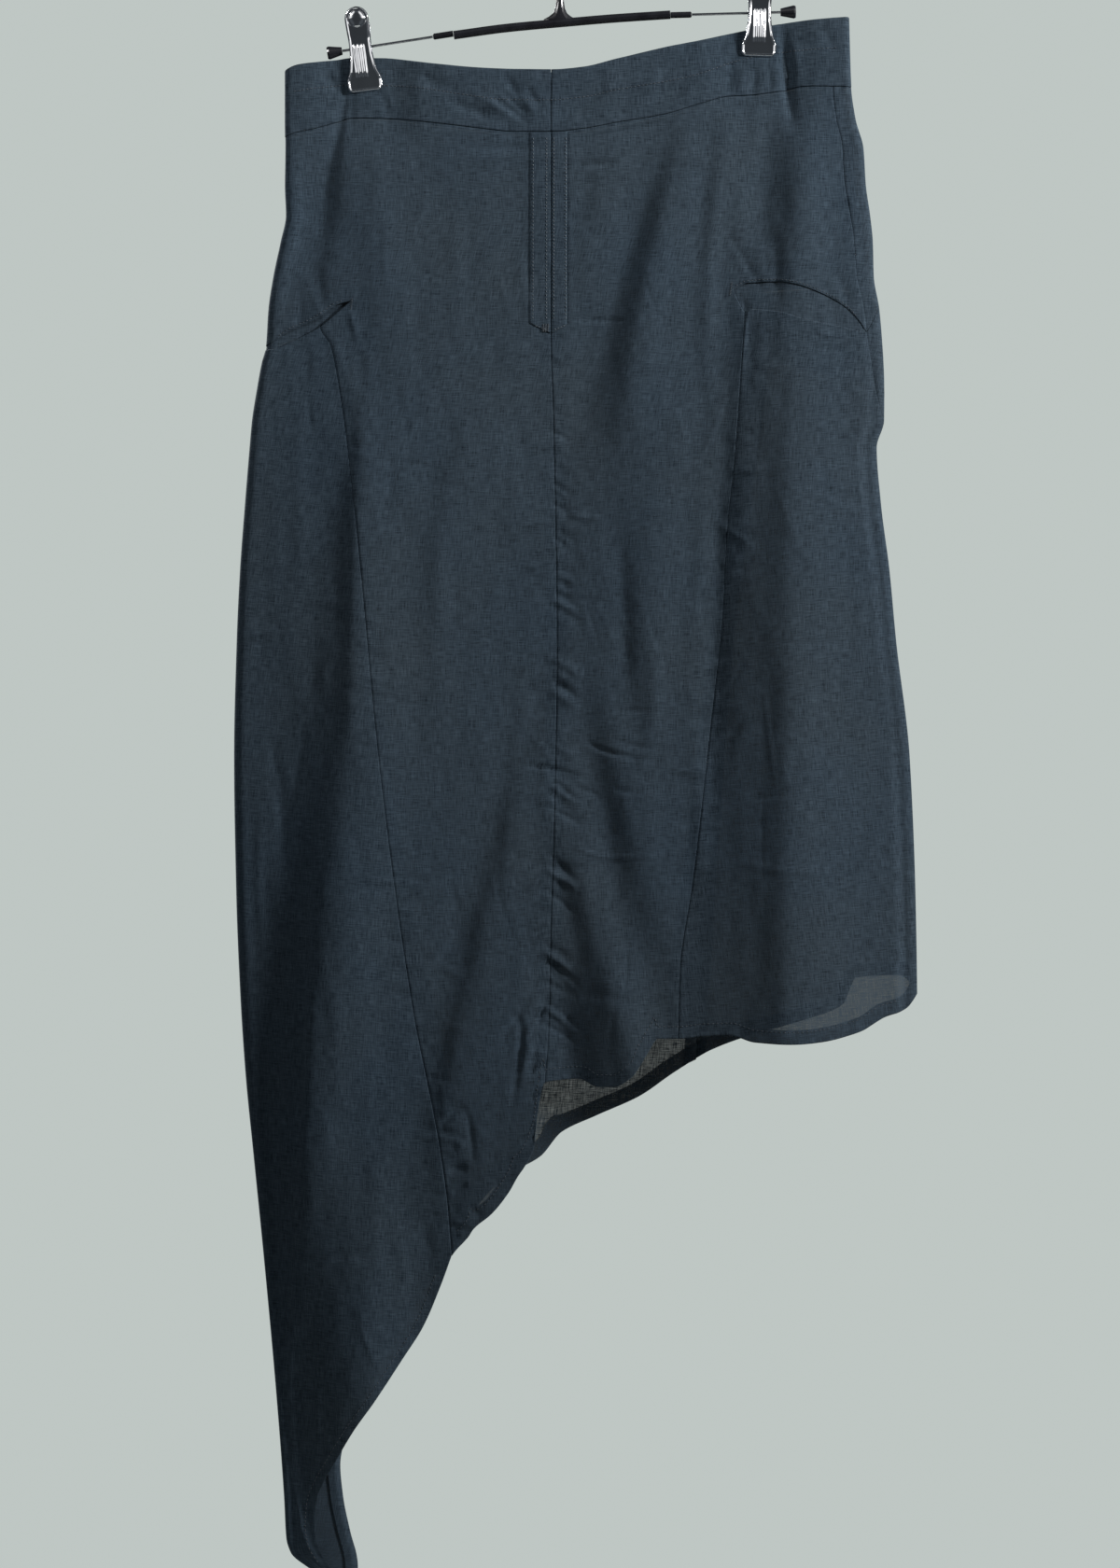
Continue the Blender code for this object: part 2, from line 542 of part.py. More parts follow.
class ClothPiece:
    """A wall of cloth whose outer face is stitched from strips between lines that run down it."""

    def __init__(self, name, wall=WALL, lift=0.0, finish=LINEN):
        self.name, self.wall, self.lift, self.finish = name, wall, lift, finish
        self.outer, self.inner, self.index, self.faces = [], [], {}, []

    def point(self, line_name, line, z, wall):
        key = (line_name, round(z, 3))
        if key not in self.index:
            p = line(z)
            place, normal = surface(p, z), outward(p, z)
            self.index[key] = len(self.outer)
            self.outer.append(place + normal * self.lift)
            self.inner.append(place + normal * (self.lift - wall))
        return self.index[key]

    def column(self, line_name, line, heights):
        return [(z, self.point(line_name, line, z, wall)) for z, wall in heights]

    def strip(self, left, right):
        """Triangles between two columns of points, each (name, line, [(z, wall), ...]) from the top."""
        a, b = self.column(*left), self.column(*right)
        i = j = 0
        while i < len(a) - 1 or j < len(b) - 1:
            if j == len(b) - 1:
                down_left = True
            elif i == len(a) - 1:
                down_left = False
            else:
                down_left = abs(a[i + 1][0] - b[j][0]) <= abs(b[j + 1][0] - a[i][0])
            if down_left:
                self.faces.append((a[i][1], a[i + 1][1], b[j][1]))
                i += 1
            else:
                self.faces.append((a[i][1], b[j + 1][1], b[j][1]))
                j += 1

    def finish_solid(self):
        count = len(self.outer)
        faces = list(self.faces)
        faces += [(c + count, b + count, a + count) for a, b, c in self.faces]
        edges = {}
        for face in self.faces:
            for a, b in zip(face, face[1:] + face[:1]):
                edges[(a, b)] = True
        for a, b in edges:
            if (b, a) not in edges:
                faces += [(b, a, a + count), (b, a + count, b + count)]
        return solid_from(self.name, self.outer + self.inner, faces, self.finish)


def levels_between(top, bottom, hem, coarse=False):
    """Heights from top to bottom on the common levels; a hem is thicker over its last band."""
    step = LEVEL_STEP * (2.0 if coarse else 1.0)
    first = math.ceil((TOP_LEVEL - top) / step)
    heights = [top]
    k = first
    while TOP_LEVEL - k * step > bottom + 4.0:
        z = TOP_LEVEL - k * step
        if z < top - 4.0 and not (hem and z < bottom + HEM_BAND + 4.0):
            heights.append(z)
        k += 1
    if not hem:
        return [(z, WALL) for z in heights + [bottom]]
    thin = [(z, WALL) for z in heights]
    if bottom + HEM_BAND < top - 2.0:
        thin.append((bottom + HEM_BAND, HEM_WALL))
    return thin + [(bottom, HEM_WALL)]


def meet(line, edge, heights):
    """The height at which a line that runs down the cloth meets an edge given as z at each x."""
    high, low = heights
    for _ in range(40):
        middle = (high + low) / 2.0
        if middle > edge(x_at(line(middle), middle)):
            high = middle
        else:
            low = middle
    return (high + low) / 2.0


def band_seam(x):
    return by_x(WAISTBAND, "seam", x)


def band_top(x):
    return by_x(WAISTBAND, "top", x)


def panel_top(line):
    return meet(line, band_seam, BAND_HEIGHTS) - HALF_GAP


def hem_end(line, rows):
    return meet(line, lambda x: by_x(rows, "z", x), HEM_HEIGHTS)


def mouth_end(line, rows):
    return meet(line, lambda x: by_x(rows, "z", x), MOUTH_HEIGHTS)


def yoke_end(line, side, rows):
    z = -320.0
    for _ in range(20):
        z = hermite(rows, lambda row: row.along, lambda row: row.z, line(z) - side(z))
    return z


def columns(names, lines, tops, bottoms, hem=False, coarse=()):
    made = []
    for k, (name, line) in enumerate(zip(names, lines)):
        made.append((name, line, levels_between(tops[k], bottoms[k], hem, k in coarse)))
    return made


def join_strips(piece, made):
    for left, right in zip(made, made[1:]):
        piece.strip(left, right)


def front_panel(name, hip_lines, inner_lines, mouth_upper, mouth_lower, end_index, hip_first):
    """A front: the hip above the pocket mouth, and the panel from the princess seam to the centre.

    The lines run left to right. The mouth cuts the lines between the hip and inner_lines[end_index].
    """
    piece = ClothPiece(name)
    hip = columns([("hip", k) for k in range(len(hip_lines))], hip_lines,
                  [panel_top(line) for line in hip_lines],
                  [mouth_end(line, mouth_upper) + HALF_GAP for line in hip_lines])
    inner_names = [("inner", k) for k in range(len(inner_lines))]
    tops = [panel_top(line) for line in inner_lines]
    hems = [hem_end(line, HEM_FRONT) for line in inner_lines]
    steps = list(range(len(inner_lines)))
    cut = steps[:end_index] if hip_first else steps[end_index + 1:]
    tack = mouth_end(inner_lines[end_index], mouth_upper)

    def upper(k):
        bottom = tack if k == end_index else mouth_end(inner_lines[k], mouth_upper)
        return inner_names[k], inner_lines[k], levels_between(tops[k], bottom, False)

    def lower(k):
        top = tack if k == end_index else mouth_end(inner_lines[k], mouth_lower)
        return inner_names[k], inner_lines[k], levels_between(top, hems[k], True)

    def whole(k):
        if k != end_index:
            return inner_names[k], inner_lines[k], levels_between(tops[k], hems[k], True)
        return inner_names[k], inner_lines[k], upper(k)[2][:-1] + lower(k)[2]

    join_strips(piece, hip)
    seam_index = 0 if hip_first else len(inner_lines) - 1
    if hip_first:
        piece.strip(hip[-1], upper(seam_index))
        cut_pairs = [(k, k + 1) for k in cut]
        whole_pairs = [(k, k + 1) for k in steps[end_index:-1]]
    else:
        cut_pairs = [(k - 1, k) for k in cut]
        whole_pairs = [(k, k + 1) for k in steps[:end_index]]
    for left, right in cut_pairs:
        piece.strip(upper(left), upper(right))
        piece.strip(lower(left), lower(right))
    for left, right in whole_pairs:
        piece.strip(whole(left), whole(right))
    if not hip_first:
        piece.strip(upper(seam_index), hip[0])
    return piece.finish_solid()


LEFT_FRONT_PARTS = [0.0, 0.06, 0.134, 0.215, 0.30, 0.40, 0.50, 0.61, 0.71, 0.81, 0.90, 0.955, 1.0]
LEFT_MOUTH_LINE = 2         # the line of LEFT_FRONT_PARTS that the left mouth's inner end lies on
RIGHT_FRONT_PARTS = [0.0, 0.06, 0.12, 0.20, 0.28, 0.36, 0.44, 0.52, 0.60, 0.69, 0.79, 0.89, 0.94, 1.0]
RIGHT_MOUTH_LINE = 12
BACK_PARTS = [0.0, 0.07, 0.14, 0.22, 0.32, 0.42, 0.52, 0.62, 0.70, 0.777, 0.8475, 0.903, 0.956, 1.0]


def left_front_lines():
    return between(shifted(princess_left, HALF_GAP), shifted(centre_seam, -HALF_GAP), LEFT_FRONT_PARTS)


def right_front_lines():
    return between(shifted(centre_seam, HALF_GAP), shifted(princess_right, -HALF_GAP), RIGHT_FRONT_PARTS)


def make_front_panels():
    front_panel("front_left", left_hip_lines()[:-1], left_front_lines(), MOUTH_LEFT_UPPER,
                MOUTH_LEFT_LOWER, LEFT_MOUTH_LINE, True)
    front_panel("front_right", right_hip_lines()[1:], right_front_lines(), MOUTH_RIGHT_UPPER,
                MOUTH_RIGHT_LOWER, RIGHT_MOUTH_LINE, False)


def tail_levels(top, edge_column):
    """Rows of a piece that runs down into the tail; its hem is its free edge."""
    heights = [z for z, _ in levels_between(top, TAIL_END, False)]
    seam_end = TAIL_FRONT[0].z
    return [(z, HEM_WALL if edge_column and z < seam_end else WALL) for z in heights]


def make_side_panels():
    left = ClothPiece("side_front_left")
    lines = left_hip_lines()
    made = []
    for k, line in enumerate(lines):
        top = min(mouth_end(line, MOUTH_LEFT_LOWER), mouth_end(line, MOUTH_LEFT_UPPER)) - HALF_GAP
        made.append((k, line, tail_levels(top, k == len(lines) - 1)))
    join_strips(left, made)
    left.finish_solid()

    right = ClothPiece("side_front_right")
    lines = right_hip_lines()
    tops = [mouth_end(line, MOUTH_RIGHT_LOWER) - HALF_GAP for line in lines]
    hems = [hem_end(line, HEM_FRONT) for line in lines]
    join_strips(right, columns(range(len(lines)), lines, tops, hems, hem=True))
    right.finish_solid()


def make_back():
    piece = ClothPiece("back_centre")
    right_lines, left_lines = right_back_lines(), left_back_lines()
    inner = between(shifted(back_seam_right, HALF_GAP), shifted(back_seam_left, -HALF_GAP), BACK_PARTS)
    hip_right = columns([("right", k) for k in range(len(right_lines))], right_lines,
                        [panel_top(line) for line in right_lines],
                        [yoke_end(line, side_right, YOKE_RIGHT) + SLANT_HALF_GAP for line in right_lines])
    hip_left = columns([("left", k) for k in range(len(left_lines))], left_lines,
                       [panel_top(line) for line in left_lines],
                       [yoke_end(line, side_left_from_back, YOKE_LEFT) + HALF_GAP for line in left_lines])
    names = [("inner", k) for k in range(len(inner))]
    tops = [panel_top(line) for line in inner]
    hems = [hem_end(line, HEM_BACK) for line in inner]
    yoke_right, yoke_left = hip_right[-1][2][-1][0], hip_left[0][2][-1][0]

    def split(k, at):
        above = levels_between(tops[k], at, False)
        below = levels_between(at, hems[k], True)
        return above, below

    right_above, right_below = split(0, yoke_right)
    left_above, left_below = split(len(inner) - 1, yoke_left)
    made = columns(names, inner, tops, hems, hem=True, coarse=range(2, len(inner) - 2))
    made[0] = (names[0], inner[0], right_above[:-1] + right_below)
    made[-1] = (names[-1], inner[-1], left_above[:-1] + left_below)
    join_strips(piece, hip_right[:-1])
    piece.strip(hip_right[-2], (names[0], inner[0], right_above))
    join_strips(piece, made)
    piece.strip((names[-1], inner[-1], left_above), hip_left[1])
    join_strips(piece, hip_left[1:])
    piece.finish_solid()

    side = ClothPiece("side_back_right")
    tops = [yoke_end(line, side_right, YOKE_RIGHT) - SLANT_HALF_GAP for line in right_lines]
    hems = [hem_end(line, HEM_BACK) for line in right_lines]
    join_strips(side, columns(range(len(right_lines)), right_lines, tops, hems, hem=True))
    side.finish_solid()

    side = ClothPiece("side_back_left")
    made = []
    for k, line in enumerate(left_lines):
        top = yoke_end(line, side_left_from_back, YOKE_LEFT) - HALF_GAP
        made.append((k, line, tail_levels(top, k == 0)))
    join_strips(side, made)
    side.finish_solid()


def make_waistband():
    right_back, left_back = right_back_lines(), left_back_lines()
    fold_middle = 4                                     # the line nearest the middle of the right fold
    front_left = left_hip_lines()[:-1] + left_front_lines()
    front_right = right_front_lines() + right_hip_lines()[1:] + right_back[1:fold_middle + 1]
    inner = between(shifted(back_seam_right, HALF_GAP), shifted(back_seam_left, -HALF_GAP), BACK_PARTS)
    back = right_back[fold_middle:-1] + inner + left_back[1:]
    front_right[-1] = shifted(front_right[-1], -HALF_GAP)
    back[0] = shifted(back[0], HALF_GAP)
    for name, lines in (("waistband_front_left", front_left), ("waistband_front_right", front_right),
                        ("waistband_back", back)):
        piece = ClothPiece(name, wall=BAND_WALL)
        made = []
        for k, line in enumerate(lines):
            top = meet(line, band_top, BAND_HEIGHTS)
            bottom = meet(line, band_seam, BAND_HEIGHTS) + HALF_GAP
            made.append((k, line, [(top + (bottom - top) * f, BAND_WALL) for f in even(3)]))
        join_strips(piece, made)
        piece.finish_solid()


def make_placket():
    """Two strips that lie on the fronts beside the opening, and the zip tape behind it."""
    sides = (("placket_strip_left", -STRIP_WIDTH_LEFT, -HALF_GAP, (STRIP_END, STRIP_END - STRIP_POINT)),
             ("placket_strip_right", HALF_GAP, STRIP_WIDTH_RIGHT, (STRIP_END - STRIP_POINT, STRIP_END)))
    for name, first, last, ends in sides:
        piece = ClothPiece(name, wall=STRIP_WALL, lift=LAY_GAP + STRIP_WALL)
        made = []
        for k, f in enumerate(even(2)):
            line = shifted(centre_seam, first + (last - first) * f)
            top = panel_top(line) - 0.6
            bottom = ends[0] + (ends[1] - ends[0]) * f
            made.append((k, line, [(z, STRIP_WALL) for z, _ in levels_between(top, bottom, False)]))
        join_strips(piece, made)
        piece.finish_solid()
    tape = ClothPiece("zip_tape", wall=ZIP_WALL, lift=-WALL - LAY_GAP, finish=TAPE)
    made = []
    for k, f in enumerate(even(2)):
        line = shifted(centre_seam, ZIP_HALF_WIDTH * (2.0 * f - 1.0))
        top = panel_top(line) - 0.6
        made.append((k, line, [(z, ZIP_WALL) for z, _ in levels_between(top, STRIP_END - 4.0, False)]))
    join_strips(tape, made)
    tape.finish_solid()


def make_pocket_facings():
    """The cloth behind each mouth, as far as it shows and is caught in the seams round it."""
    left_lines = left_hip_lines()[LEFT_FOLD_LINES - 1:-1] + left_front_lines()[:LEFT_MOUTH_LINE + 2]
    right_lines = right_front_lines()[RIGHT_MOUTH_LINE - 1:] + right_hip_lines()[1:]
    for name, lines, upper, lower in (
            ("pocket_facing_left", left_lines, MOUTH_LEFT_UPPER, MOUTH_LEFT_LOWER),
            ("pocket_facing_right", right_lines, MOUTH_RIGHT_UPPER, MOUTH_RIGHT_LOWER)):
        piece = ClothPiece(name, wall=FACING_WALL, lift=-WALL - FACING_GAP)
        made = []
        for k, line in enumerate(lines):
            top = mouth_end(line, upper) + FACING_ABOVE
            bottom = mouth_end(line, lower) - FACING_BELOW
            made.append((k, line, [(z, FACING_WALL) for z, _ in levels_between(top, bottom, False)]))
        join_strips(piece, made)
        piece.finish_solid()


# ---- hanger ----
def tube(name, path, radius, finish, resolution=3):
    """A round bar along points in millimetres."""
    curve = bpy.data.curves.new(name, "CURVE")
    curve.dimensions = "3D"
    curve.bevel_depth = radius * MM
    curve.bevel_resolution = resolution
    curve.use_fill_caps = True
    curve.render_resolution_u = 0
    spline = curve.splines.new("POLY")
    spline.points.add(len(path) - 1)
    for point, place in zip(spline.points, path):
        point.co = (place[0] * MM, place[1] * MM, place[2] * MM, 1.0)
    obj = bpy.data.objects.new(name, curve)
    bpy.context.collection.objects.link(obj)
    curve.materials.append(material(*finish))
    return obj


def turned(name, profile, start, end, finish, sides=20):
    """A closed profile of (distance along the axis, radius) turned about the line from start to end."""
    axis = (Vector(end) - Vector(start)).normalized()
    frame = axis.to_track_quat("Z", "Y").to_matrix()
    points, faces = [], []
    count = len(profile)
    for k in range(sides):
        angle = 2.0 * math.pi * k / sides
        for along, radius in profile:
            local = Vector((radius * math.cos(angle), radius * math.sin(angle), along))
            points.append(Vector(start) + frame @ local)
    for k in range(sides):
        following = (k + 1) % sides
        for i in range(count):
            j = (i + 1) % count
            faces.append((k * count + i, following * count + i, following * count + j, k * count + j))
    obj = solid_from(name, points, faces, finish)
    editing = bmesh.new()
    editing.from_mesh(obj.data)
    bmesh.ops.remove_doubles(editing, verts=editing.verts, dist=1e-6)
    bmesh.ops.dissolve_degenerate(editing, edges=editing.edges, dist=1e-6)
    bmesh.ops.recalc_face_normals(editing, faces=editing.faces)
    editing.to_mesh(obj.data)
    editing.free()
    return obj


def loft(name, rings, finish):
    """A solid through rings, each an ellipse about the stem's axis."""
    sides = 16
    points, faces = [], []
    for z, half_x, half_y in rings:
        for k in range(sides):
            angle = 2.0 * math.pi * k / sides
            points.append(Vector((half_x * math.cos(angle), half_y * math.sin(angle), z)))
    for r in range(len(rings) - 1):
        for k in range(sides):
            n = (k + 1) % sides
            faces.append((r * sides + k, r * sides + n, (r + 1) * sides + n, (r + 1) * sides + k))
    faces.append(tuple(reversed(range(sides))))
    faces.append(tuple(range((len(rings) - 1) * sides, len(rings) * sides)))
    return solid_from(name, points, faces, finish)


def arched(path, count):
    """Evenly parted points on a smooth arch through (x, z) places."""
    Place = namedtuple("Place", "x z")
    rows = [Place(*place) for place in path]
    first, last = rows[0].x, rows[-1].x
    xs = [first + (last - first) * f for f in even(count)]
    return [(x, 0.0, by_x(rows, "z", x)) for x in xs]


def make_bar():
    bar = tube("hanger_bar", arched(BAR_PATH, 14), BAR_RADIUS, BLACK)
    stem = loft("stem", STEM_RINGS, BLACK)
    stem.hide_render = True
    stem.display_type = "WIRE"
    solid = bpy.data.meshes.new_from_object(bar.evaluated_get(bpy.context.evaluated_depsgraph_get()))
    bpy.data.objects.remove(bar)
    bar = add_object("hanger_bar", solid, BLACK)
    union = bar.modifiers.new("stem", "BOOLEAN")
    union.operation = "UNION"
    union.solver = "EXACT"
    union.object = stem


def make_hook():
    """The wire runs up from the stem, out to the right, and over the top to a free end on the left."""
    radius = HOOK_INNER + HOOK_RADIUS
    path = [(x, 0.0, z) for x, z in HOOK_SHANK]
    for degrees in range(*HOOK_TURN):
        angle = math.radians(degrees)
        path.append((radius * math.cos(angle), 0.0, radius * math.sin(angle) - HOOK_INNER))
    path.append((-radius - 1.2, 0.0, -HOOK_INNER - 9.5))
    tube("hook", path, HOOK_RADIUS, CHROME, resolution=2)


def make_arm(side, rod, bar_end):
    """Ferrule, rod and end cap, one after the other on the rod's line."""
    start, end = Vector((rod[0][0], 0.0, rod[0][1])), Vector((rod[1][0], 0.0, rod[1][1]))
    bar_end = Vector((bar_end[0], 0.0, bar_end[1]))
    outward_way = (end - start).normalized()
    ferrule_start = start - outward_way * (start - bar_end).length + outward_way * SEAM_GAP
    ferrule_length = (start - ferrule_start).length
    turned(f"ferrule_{side}", [(0.0, 0.0), (0.0, FERRULE_RADIUS), (ferrule_length - 0.8, FERRULE_RADIUS),
                               (ferrule_length, FERRULE_RADIUS - 0.7), (ferrule_length, 0.0)],
           ferrule_start, end, BLACK, 16)
    rod_start = start + outward_way * SEAM_GAP
    rod_length = (end - rod_start).length
    turned(f"rod_{side}", [(0.0, 0.0), (0.0, ROD_RADIUS), (rod_length, ROD_RADIUS), (rod_length, 0.0)],
           rod_start, end, STEEL, 12)
    cap_start = end + outward_way * SEAM_GAP
    turned(f"cap_{side}", [(0.0, 0.0), (0.0, CAP_SMALL_RADIUS), (CAP_LENGTH - 1.4, CAP_LARGE_RADIUS),
                           (CAP_LENGTH, CAP_LARGE_RADIUS - 0.5), (CAP_LENGTH, 0.0)],
           cap_start, cap_start + outward_way, BLACK, 18)


def make_clip(clip, rod):
    lean = math.radians(clip.lean)
    down = Vector((math.sin(lean), 0.0, -math.cos(lean)))
    across = Vector((math.cos(lean), 0.0, math.sin(lean)))
    pivot = Vector((clip.pivot_x, 0.0, clip.pivot_z))
    for name, facing in (("front", -1.0), ("back", 1.0)):
        steps = 6
        points, faces = [], []
        for wall in (PLATE_WALL, 0.0):
            for row in PLATE:
                for k in range(steps + 1):
                    side = 2.0 * k / steps - 1.0
                    depth = Vector((0.0, facing * (row.inner + wall), 0.0))
                    points.append(pivot + down * row.down + across * row.half * side + depth)
        row_size, layer = steps + 1, len(PLATE) * (steps + 1)
        for r in range(len(PLATE) - 1):
            for k in range(steps):
                a = r * row_size + k
                quad = (a, a + row_size, a + row_size + 1, a + 1)
                faces += [quad, tuple(v + layer for v in reversed(quad))]
        rim = ([k for k in range(row_size)] + [r * row_size + steps for r in range(1, len(PLATE))]
               + [layer - row_size + k for k in range(steps - 1, -1, -1)]
               + [r * row_size for r in range(len(PLATE) - 2, 0, -1)])
        for a, b in zip(rim, rim[1:] + rim[:1]):
            faces.append((a, b, b + layer, a + layer))
        plate = solid_from(f"clip_{clip.name}_{name}", points, faces, CHROME)
        if facing > 0.0:
            plate.data.flip_normals()
    along = (Vector((rod[1][0], 0.0, rod[1][1])) - Vector((rod[0][0], 0.0, rod[0][1]))).normalized()
    start = pivot - along * (SPRING_LENGTH / 2.0)
    bore = ROD_RADIUS + SEAM_GAP
    turned(f"clip_{clip.name}_spring", [(0.0, bore), (0.0, SPRING_RADIUS), (SPRING_LENGTH, SPRING_RADIUS),
                                        (SPRING_LENGTH, bore)], start, start + along, CHROME, 16)


def make_hanger():
    make_bar()
    make_hook()
    make_arm("left", ROD_LEFT, BAR_PATH[0])
    make_arm("right", ROD_RIGHT, BAR_PATH[-1])
    make_clip(CLIPS[0], ROD_LEFT)
    make_clip(CLIPS[1], ROD_RIGHT)


def main():
    for obj in list(bpy.data.objects):
        bpy.data.objects.remove(obj)
    make_waistband()
    make_front_panels()
    make_side_panels()
    make_back()
    make_placket()
    make_pocket_facings()
    make_hanger()


main()
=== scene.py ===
# %% [markdown]
# # A linen skirt on a clip hanger
# A long skirt of thin, dark linen hangs flat by its waistband from two chrome clips. This lesson
# dresses its plain solids: it lays fine cloth over them, sews it, and gives every surface a finish.
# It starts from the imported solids, because each piece here has to sit exactly where they are.

# %% Load the frame
import math

import bpy
import numpy as np
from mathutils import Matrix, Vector


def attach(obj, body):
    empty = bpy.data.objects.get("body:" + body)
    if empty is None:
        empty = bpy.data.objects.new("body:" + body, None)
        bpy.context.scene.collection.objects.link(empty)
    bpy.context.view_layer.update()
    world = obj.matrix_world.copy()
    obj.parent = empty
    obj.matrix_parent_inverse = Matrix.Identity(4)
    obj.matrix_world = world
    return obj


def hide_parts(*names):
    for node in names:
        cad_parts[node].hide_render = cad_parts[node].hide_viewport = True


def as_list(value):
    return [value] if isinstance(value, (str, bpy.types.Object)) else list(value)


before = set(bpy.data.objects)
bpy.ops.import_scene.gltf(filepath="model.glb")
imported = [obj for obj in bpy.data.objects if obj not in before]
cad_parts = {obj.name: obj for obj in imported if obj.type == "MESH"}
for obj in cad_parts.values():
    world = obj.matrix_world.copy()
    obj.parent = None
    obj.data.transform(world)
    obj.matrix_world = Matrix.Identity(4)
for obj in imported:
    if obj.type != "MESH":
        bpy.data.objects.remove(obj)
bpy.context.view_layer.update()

MM = 0.001

# %% [markdown]
# The camera comes first. The photograph was taken level with the middle of the skirt from a few
# metres away, so a long lens at that height gives the same view. The frame is 1200 x 1680, and one
# of its pixels is 0.72 mm at the cloth.

# %% Camera
PHOTO_ROWS, PIXEL = 1680, 0.72          # the photograph's height, and how many mm one pixel is
VIEW_HEIGHT = PHOTO_ROWS * PIXEL * MM
CAMERA_DISTANCE, VIEW_CENTRE = 2.5, -0.682
camera = bpy.data.cameras.new("camera")
camera.sensor_fit = "VERTICAL"
camera.sensor_height = 24.0
camera.lens = camera.sensor_height * CAMERA_DISTANCE / VIEW_HEIGHT
camera_object = bpy.data.objects.new("camera", camera)
camera_object.location = (0.0, -CAMERA_DISTANCE, VIEW_CENTRE)
camera_object.rotation_euler = (math.radians(90.0), 0.0, 0.0)
bpy.context.collection.objects.link(camera_object)
bpy.context.scene.camera = camera_object
bpy.context.scene.view_settings.view_transform = "Standard"
print("lens:", round(camera.lens, 1), "mm")

# %% [markdown]
# ## The shape of the hanging skirt
# A skirt that hangs flat is a squashed tube. At each height it has a left and a right fold of a
# small radius, and a front and a back that bow out between them. The tables give that tube in
# millimetres, and `curve` turns any column into a smooth function. A place on the cloth is (p, z):
# z is the height, and p is how far along the ring it lies, from the left end of the flat front.

# %% Smooth curves through short tables
def curve(rows, column=1):
    """A smooth function through a column, keyed by the table's first."""
    rows = sorted(rows)
    at = np.array([row[0] for row in rows])
    value = np.array([row[column] for row in rows])
    rise = np.diff(value) / np.diff(at)
    product = rise[:-1] * rise[1:]
    total = np.where(product > 0.0, rise[:-1] + rise[1:], 1.0)
    slope = np.concatenate([rise[:1], np.where(product > 0.0, 2.0 * product / total, 0.0), rise[-1:]])

    def smooth(x):
        x = np.clip(x, at[0], at[-1])
        i = np.clip(np.searchsorted(at, x) - 1, 0, len(at) - 2)
        span = at[i + 1] - at[i]
        t = (x - at[i]) / span
        return ((2 * t**3 - 3 * t**2 + 1) * value[i] + (t**3 - 2 * t**2 + t) * slope[i] * span
                + (3 * t**2 - 2 * t**3) * value[i + 1] + (t**3 - t**2) * slope[i + 1] * span)

    return smooth


def smooth_step(low, high, value):
    t = np.clip((value - low) / (high - low), 0.0, 1.0)
    return t * t * (3.0 - 2.0 * t)


# %% Sections of the tube: height, left and right fold, fold radius, front and back bow
SECTIONS = [
    (-90, -212, 222.8, 4.6, 0.4, 0.4), (-145, -212, 224.6, 4.8, 0.8, 0.8),
    (-169, -212, 228, 5, 1.5, 1.5), (-191, -211.8, 234, 5.3, 2.5, 2.5),
    (-221, -212.2, 236, 5.7, 4, 3.5), (-243, -211.4, 239.2, 6, 5, 4.5),
    (-264, -215.5, 241.4, 6.3, 6.5, 5.5), (-290, -221, 242, 6.6, 8, 7),
    (-316, -224.9, 246.4, 7, 9.5, 8), (-345, -226.8, 248.8, 7, 11, 9),
    (-357, -230, 249.6, 7, 11.6, 9.4), (-380, -234.2, 250.2, 7.2, 12.6, 10),
    (-402, -237.6, 250, 7.4, 13.4, 10.6), (-422, -239.4, 244.4, 7.6, 14, 11.2),
    (-466, -243, 247.7, 8, 15, 12.5), (-517, -246.8, 254.2, 8, 16, 14),
    (-572, -249.4, 259.4, 8.2, 17, 15), (-661, -251.4, 269.8, 8.5, 19, 17),
    (-768, -249.7, 274.3, 9, 21, 19), (-844, -246.6, 275.6, 9, 22, 20),
    (-905, -242.6, 276, 8.4, 22, 20), (-970, -236.2, 276, 7, 22, 20),
    (-1050, -228.2, 276, 5, 20, 18), (-1152, -218.9, 276, 4.2, 16, 15),
    (-1233, -212.8, 276, 4, 12, 12), (-1263, -211.2, 276, 4, 10, 10),
    (-1275, -207.6, 276, 4, 9, 9), (-1286, -194.5, 276, 4, 8, 8),
    (-1296, -178, 276, 4, 7, 7),
]
left_edge, right_edge, fold_radius, front_bow, back_bow = (curve(SECTIONS, k) for k in range(1, 6))


def flat_width(z):
    return right_edge(z) - left_edge(z) - 2.0 * fold_radius(z)


def half_turn(z):
    return math.pi * fold_radius(z)


def front_at(z, x):
    return x - left_edge(z) - fold_radius(z)


def back_at(z, x):
    return flat_width(z) + half_turn(z) + right_edge(z) - fold_radius(z) - x


print("widest:", float(max(right_edge(z) - left_edge(z) for z in (-661.0, -768.0, -905.0))), "mm")

# %% [markdown]
# The large folds are soft hills and valleys on that tube. Each runs through three points, swells
# towards its middle and dies out at both ends. The clips press front and back flat where they grip.

